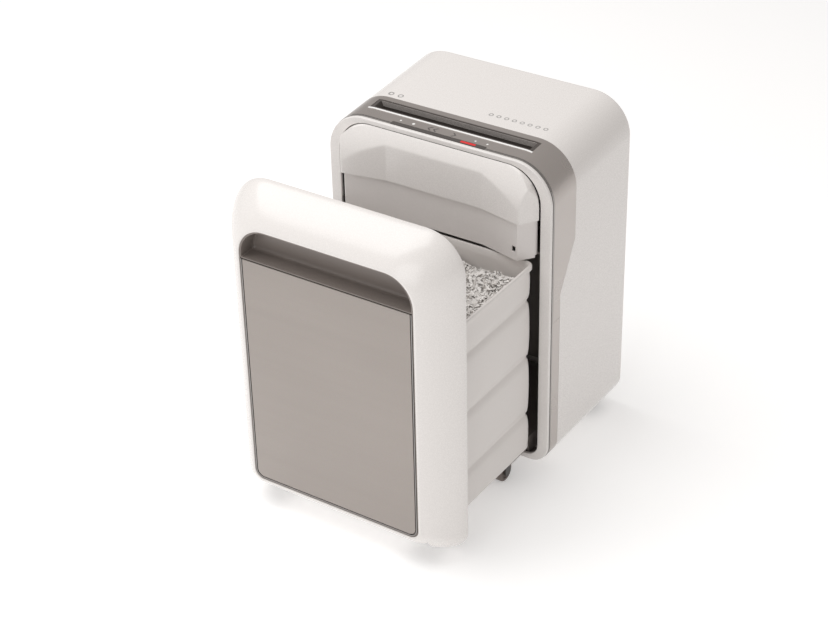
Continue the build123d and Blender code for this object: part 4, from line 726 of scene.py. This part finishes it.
# ---------------------------------------------------------------- shredded paper
def heap_height(x, y):
    """Lumpy top of the heap of paper."""
    wave = math.sin(31 * x + 1.3) * math.cos(27 * y - 0.4) + 0.5 * math.sin(67 * x - 49 * y)
    edge = max(abs(x) / PAPER_HI.x, abs((y - (PAPER_LO.y + PAPER_HI.y) / 2)
                                        / ((PAPER_HI.y - PAPER_LO.y) / 2)))
    return PAPER_HI.z - HEAP_WAVE + HEAP_WAVE * 0.6 * wave - HEAP_SINK * edge ** 6


def heap_sheet(inset, lift):
    """Points over the heap's top, row by row."""
    xs = [PAPER_LO.x + inset + (PAPER_HI.x - PAPER_LO.x - 2 * inset) * n / HEAP_COLUMNS
          for n in range(HEAP_COLUMNS + 1)]
    ys = [PAPER_LO.y + inset + (PAPER_HI.y - PAPER_LO.y - 2 * inset) * n / HEAP_ROWS
          for n in range(HEAP_ROWS + 1)]
    return [(x, y, heap_height(x, y) + lift) for y in ys for x in xs]


def paper_heap():
    """Closed body of the heap under its loose top."""
    top = heap_sheet(HEAP_GAP, 0.0)
    faces = grid_faces(HEAP_COLUMNS, HEAP_ROWS)
    rim = grid_rim(HEAP_COLUMNS, HEAP_ROWS)
    foot = [(top[i][0], top[i][1], PAPER_LO.z + 1 * MM) for i in rim]
    base = len(top)
    count = len(rim)
    faces += [(rim[i], base + i, base + (i + 1) % count, rim[(i + 1) % count])
              for i in range(count)]
    faces.append(tuple(base + i for i in range(count)))
    return new_piece("paper_heap", top + foot, faces, 80)


def strewn_shreds(name, lift, seed, density, curl):
    """Loose layer of curled paper strips."""
    host = new_piece(name, heap_sheet(SHRED_GAP, lift), grid_faces(HEAP_COLUMNS, HEAP_ROWS), 80)
    length, width, thickness = SHRED_SIZE
    tree = Tree(name, {"Density": density, "Seed": seed, "Length": length, "Width": width,
                       "Thickness": thickness, "Curl": curl})
    sizes = {label: tree.start.outputs[label] for label in tree.sizes}
    points = tree.node("GeometryNodeDistributePointsOnFaces", {"distribute_method": "RANDOM"},
                       Mesh=tree.start.outputs["Geometry"], Density=sizes["Density"],
                       Seed=sizes["Seed"])
    size = tree.node("ShaderNodeCombineXYZ", X=sizes["Length"], Y=sizes["Width"],
                     Z=sizes["Thickness"])
    strip = tree.node("GeometryNodeMeshCube", Size=size.outputs[0], Vertices_X=5)
    turn = tree.node("FunctionNodeRandomValue", {"data_type": "FLOAT_VECTOR"})
    turn.inputs[0].default_value = (-SHRED_TILT, -SHRED_TILT, 0)
    turn.inputs[1].default_value = (SHRED_TILT, SHRED_TILT, 2 * math.pi)
    tree.group.links.new(sizes["Seed"], turn.inputs["Seed"])
    scale = tree.node("FunctionNodeRandomValue", {"data_type": "FLOAT"})
    scale.inputs[2].default_value, scale.inputs[3].default_value = SHRED_SCALE
    spread = tree.node("GeometryNodeInstanceOnPoints", Points=points.outputs["Points"],
                       Instance=strip.outputs["Mesh"], Rotation=turn.outputs[0],
                       Scale=scale.outputs[1])
    loose = tree.node("GeometryNodeRealizeInstances", Geometry=spread.outputs[0])
    noise = tree.node("ShaderNodeTexNoise", Scale=CURL_SCALE, Detail=1.0)
    centred = tree.node("ShaderNodeVectorMath", {"operation": "SUBTRACT"})
    tree.group.links.new(noise.outputs["Color"], centred.inputs[0])
    centred.inputs[1].default_value = (0.5, 0.5, 0.5)
    pushed = tree.node("ShaderNodeVectorMath", {"operation": "SCALE"})
    tree.group.links.new(centred.outputs[0], pushed.inputs[0])
    tree.group.links.new(sizes["Curl"], pushed.inputs["Scale"])
    curled = tree.node("GeometryNodeSetPosition", Geometry=loose.outputs[0],
                       Offset=pushed.outputs[0])
    shreds = tree.grow(host, curled.outputs[0], FINISH["cut_paper"])
    shade(shreds, 40)
    return shreds


# ---------------------------------------------------------------- hood
def hood_plan(share):
    """Place along the hood, from one side (0) to the other (1), as (x, how far it stands out)."""
    root = HOOD_HI.x
    half = [(root, 0.0), (root - HOOD_SHOULDER, RING_LO.y - HOOD_LO.y),
            (root - HOOD_FACET, HOOD_MIDDLE)]
    corners = [(-x, out) for x, out in half] + half[::-1]
    lengths = [math.dist(a, b) for a, b in zip(corners, corners[1:])]
    run = share * sum(lengths)
    for (ax, ay), (bx, by), length in zip(corners, corners[1:], lengths):
        if run <= length or (bx, by) == corners[-1]:
            step = min(1.0, run / length)
            return ax + (bx - ax) * step, ay + (by - ay) * step
        run -= length


def soft_least(a, b):
    """Smaller of two lengths with a rounded change-over."""
    return 0.5 * (a + b - math.sqrt((a - b) ** 2 + HOOD_BLEND ** 2))


def hood_bow(share, reach):
    """How far the bow stands out at a share of the hood's height, measured down from its top."""
    return reach * math.sin(math.pi / 2 * min(1.0, share / BOW_END)) ** BOW_POWER


def hood():
    """White hood over the bay: a bowed top that breaks into five upright facets."""
    low = HOOD_LO.z
    crown = HOOD_HI.z
    reach = RING_LO.y - HOOD_LO.y
    plan = [hood_plan(n / HOOD_COLUMNS) for n in range(HOOD_COLUMNS + 1)]
    smooth = []
    for n in range(len(plan)):
        near = plan[max(0, n - 1):n + 2]
        smooth.append((plan[n][0], sum(p[1] for p in near) / len(near)))
    smooth[0], smooth[-1] = plan[0], plan[-1]

    def top_at(x):
        over = abs(x) - (HOOD_HI.x - HOOD_CORNER)
        if over <= 0:
            return crown
        return crown - HOOD_CORNER + math.sqrt(max(0.0, HOOD_CORNER ** 2 - over ** 2))
    outer = []
    for row in range(HOOD_ROWS + 1):
        share = row / HOOD_ROWS
        line = []
        for x, out in smooth:
            top = top_at(x)
            z = top + (low - top) * share
            bow = hood_bow((crown - z) / (crown - low), reach)
            line.append((x, RING_LO.y - max(0.0, soft_least(out, bow)) if share > 0
                         else RING_LO.y, z))
        outer.append(line)
    deepest = RING_LO.y + 1.3 * HOOD_WALL
    inner = [[(x * HOOD_NARROWING, min(deepest, y + 1.1 * HOOD_WALL),
               z - (HOOD_WALL if row < 3 else 0)) for x, y, z in line]
             for row, line in enumerate(outer)]
    verts = [point for skin in (outer, inner) for line in skin for point in line]
    offset = len(verts) // 2
    faces = grid_faces(HOOD_COLUMNS, HOOD_ROWS)
    faces += [tuple(offset + corner for corner in reversed(face)) for face in faces]
    edge = grid_rim(HOOD_COLUMNS, HOOD_ROWS)
    for here, there in zip(edge, edge[1:] + edge[:1]):
        faces.append((here, offset + here, offset + there, there))
    return new_piece("hood", verts, faces, 50)


# ---------------------------------------------------------------- studio
CAMERA_PLACE = (1.3394, -2.0201, 1.7560)
CAMERA_TURN = (34.1, 32.03, -1.42)     # azimuth, elevation, roll
CAMERA_LENS = 86.96
SKY_TINT = (1.0, 0.965, 0.94, 1)
SKY_STRENGTH = 0.47
FLOOR_REACH = 9
FLOOR_GLOW = 0.3
LIGHT_AIM = (0, 0, 0.3)


def camera():
    """Camera at the object's front right, looking down on it."""
    azimuth, elevation, roll = [math.radians(angle) for angle in CAMERA_TURN]
    forward = Vector((-math.sin(azimuth) * math.cos(elevation),
                      math.cos(azimuth) * math.cos(elevation), -math.sin(elevation)))
    level = Vector((math.cos(azimuth), math.sin(azimuth), 0))
    right = level * math.cos(roll) + level.cross(forward) * math.sin(roll)
    above = right.cross(forward)
    lens = bpy.data.cameras.new("camera")
    lens.lens = CAMERA_LENS
    lens.sensor_width = 36
    lens.clip_end = 50
    eye = bpy.data.objects.new("camera", lens)
    turn = Matrix((right, above, -forward)).transposed().to_4x4()
    eye.matrix_world = Matrix.Translation(CAMERA_PLACE) @ turn
    bpy.context.scene.collection.objects.link(eye)
    bpy.context.scene.camera = eye


def soft_box(name, place, side, watts):
    """Large square area light pointed at the machine."""
    data = bpy.data.lights.new(name, "AREA")
    data.shape = "SQUARE"
    data.size = side
    data.energy = watts
    lamp = bpy.data.objects.new(name, data)
    lamp.location = place
    aim = Vector(LIGHT_AIM) - Vector(place)
    lamp.rotation_euler = aim.to_track_quat("-Z", "Y").to_euler()
    bpy.context.scene.collection.objects.link(lamp)


def studio():
    """Pale floor and soft light."""
    world = bpy.data.worlds.new("studio")
    world.use_nodes = True
    sky = world.node_tree.nodes["Background"]
    sky.inputs["Color"].default_value = SKY_TINT
    sky.inputs["Strength"].default_value = SKY_STRENGTH
    bpy.context.scene.world = world
    floor = bar("floor", (-FLOOR_REACH, -FLOOR_REACH, -0.02), (FLOOR_REACH, FLOOR_REACH, 0))
    paint = moulded("pale_floor", (0.93, 0.93, 0.93), 0.6, 0.03, 0.004, patch=1.5, grain=60,
                    grain_depth=0.01)
    shader = paint.node_tree.nodes["Principled BSDF"]
    shader.inputs["Emission Color"].default_value = (1, 1, 1, 1)
    shader.inputs["Emission Strength"].default_value = FLOOR_GLOW
    floor.data.materials.append(paint)
    soft_box("overhead", (-0.9, -0.35, 2.6), 2.2, 42)
    soft_box("front", (0.4, -3.4, 1.7), 2.0, 25)
    view = bpy.context.scene.view_settings
    view.view_transform = "Standard"
    view.look = "None"


# ---------------------------------------------------------------- small repeated marks
def top_level(y):
    """Height of the sloping top of the cabinet at a place from front to back."""
    return RING_HI.z + RING_STEP + TOP_RAMP * (y - RING_HI.y)


def ring_marks(name, places, radius, thickness):
    """Row of small ring marks printed on the sloping top."""
    host = new_piece(name, [(x, y, top_level(y) + MARK_LIFT) for x, y in places], [])
    tree = Tree(name, {"Radius": radius, "Line": thickness, "Sides": 20})
    sizes = {label: tree.start.outputs[label] for label in tree.sizes}
    path = tree.node("GeometryNodeCurvePrimitiveCircle", Resolution=sizes["Sides"],
                     Radius=sizes["Radius"])
    line = tree.node("GeometryNodeCurvePrimitiveCircle", Resolution=6, Radius=sizes["Line"])
    wire = tree.node("GeometryNodeCurveToMesh", Curve=path.outputs["Curve"],
                     Profile_Curve=line.outputs["Curve"])
    flat = tree.node("GeometryNodeTransform", Geometry=wire.outputs[0])
    flat.inputs["Scale"].default_value = (1, 1, MARK_FLATNESS)
    points = tree.node("GeometryNodeMeshToPoints", Mesh=tree.start.outputs["Geometry"])
    spread = tree.node("GeometryNodeInstanceOnPoints", Points=points.outputs[0],
                       Instance=flat.outputs[0])
    spread.inputs["Rotation"].default_value = (math.atan(TOP_RAMP), 0, 0)
    return tree.grow(host, spread.outputs[0], GREY_MARK)


def throat_ribs():
    """Fine ribs along the upper part of the throat's rear wall."""
    insert_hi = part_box("throat_insert")[1]
    host = new_piece("throat_ribs", [(0, 0, 0)], [])
    tree = Tree("throat_ribs", {"Count": 5, "Length": insert_hi.x * 2 - RIB_INSET,
                                "Depth": 1.0 * MM, "Height": 0.8 * MM, "Pitch": 1.5 * MM,
                                "Lean": 0.19 * MM})
    sizes = {label: tree.start.outputs[label] for label in tree.sizes}
    size = tree.node("ShaderNodeCombineXYZ", X=sizes["Length"], Y=sizes["Depth"],
                     Z=sizes["Height"])
    rib = tree.node("GeometryNodeMeshCube", Size=size.outputs[0])
    step = tree.node("ShaderNodeCombineXYZ", Y=sizes["Lean"], Z=sizes["Pitch"])
    line = tree.node("GeometryNodeMeshLine", Count=sizes["Count"], Offset=step.outputs[0])
    line.inputs["Start Location"].default_value = (0, insert_hi.y - RIB_SET_BACK,
                                                   top_level(insert_hi.y) - RIB_DROP)
    points = tree.node("GeometryNodeMeshToPoints", Mesh=line.outputs[0])
    spread = tree.node("GeometryNodeInstanceOnPoints", Points=points.outputs[0],
                       Instance=rib.outputs["Mesh"])
    return tree.grow(host, spread.outputs[0], RIB_GREY)


# ---------------------------------------------------------------- build
dress_frame()
camera()
studio()
settle(bin_casing(), "bin", "white_plastic", FINISH["white_plastic"], "bin_front_shell")
settle(channel_lining(), "bin", "pocket_grey", FINISH["pocket_grey"])
settle(panel_backing(), "bin", "pocket_grey", FINISH["pocket_grey"])
settle(tub_posts(), "bin", "white_plastic", FINISH["white_plastic"])
settle(silver_panel(), "bin", "silver_panel", FINISH["silver_panel"], "front_panel")
settle(pocket_cup(), "bin", "pocket_grey", FINISH["pocket_grey"], "hand_pocket")
settle(ribbed_tub(), "bin", "bin_white", FINISH["bin_white"], "bin_tub")
settle(paper_heap(), "bin", "cut_paper", FINISH["cut_paper"], "shredded_paper")
settle(strewn_shreds("shreds_lower", 0.0, 3, 52000.0, 9 * MM), "bin", "cut_paper",
       FINISH["cut_paper"])
settle(strewn_shreds("shreds_upper", 2.0 * MM, 11, 42000.0, 12 * MM), "bin", "cut_paper",
       FINISH["cut_paper"])
settle(hood(), "cabinet", "white_plastic", FINISH["white_plastic"], "head_hood")
settle(throat_ribs(), "cabinet", "pocket_grey", RIB_GREY)
settle(ring_marks("pair_marks", PAIR_PLACES, 3.6 * MM, 0.9 * MM), "cabinet", "pocket_grey",
       GREY_MARK)
settle(ring_marks("row_marks", ROW_PLACES, 2.9 * MM, 0.8 * MM), "cabinet", "pocket_grey",
       GREY_MARK)
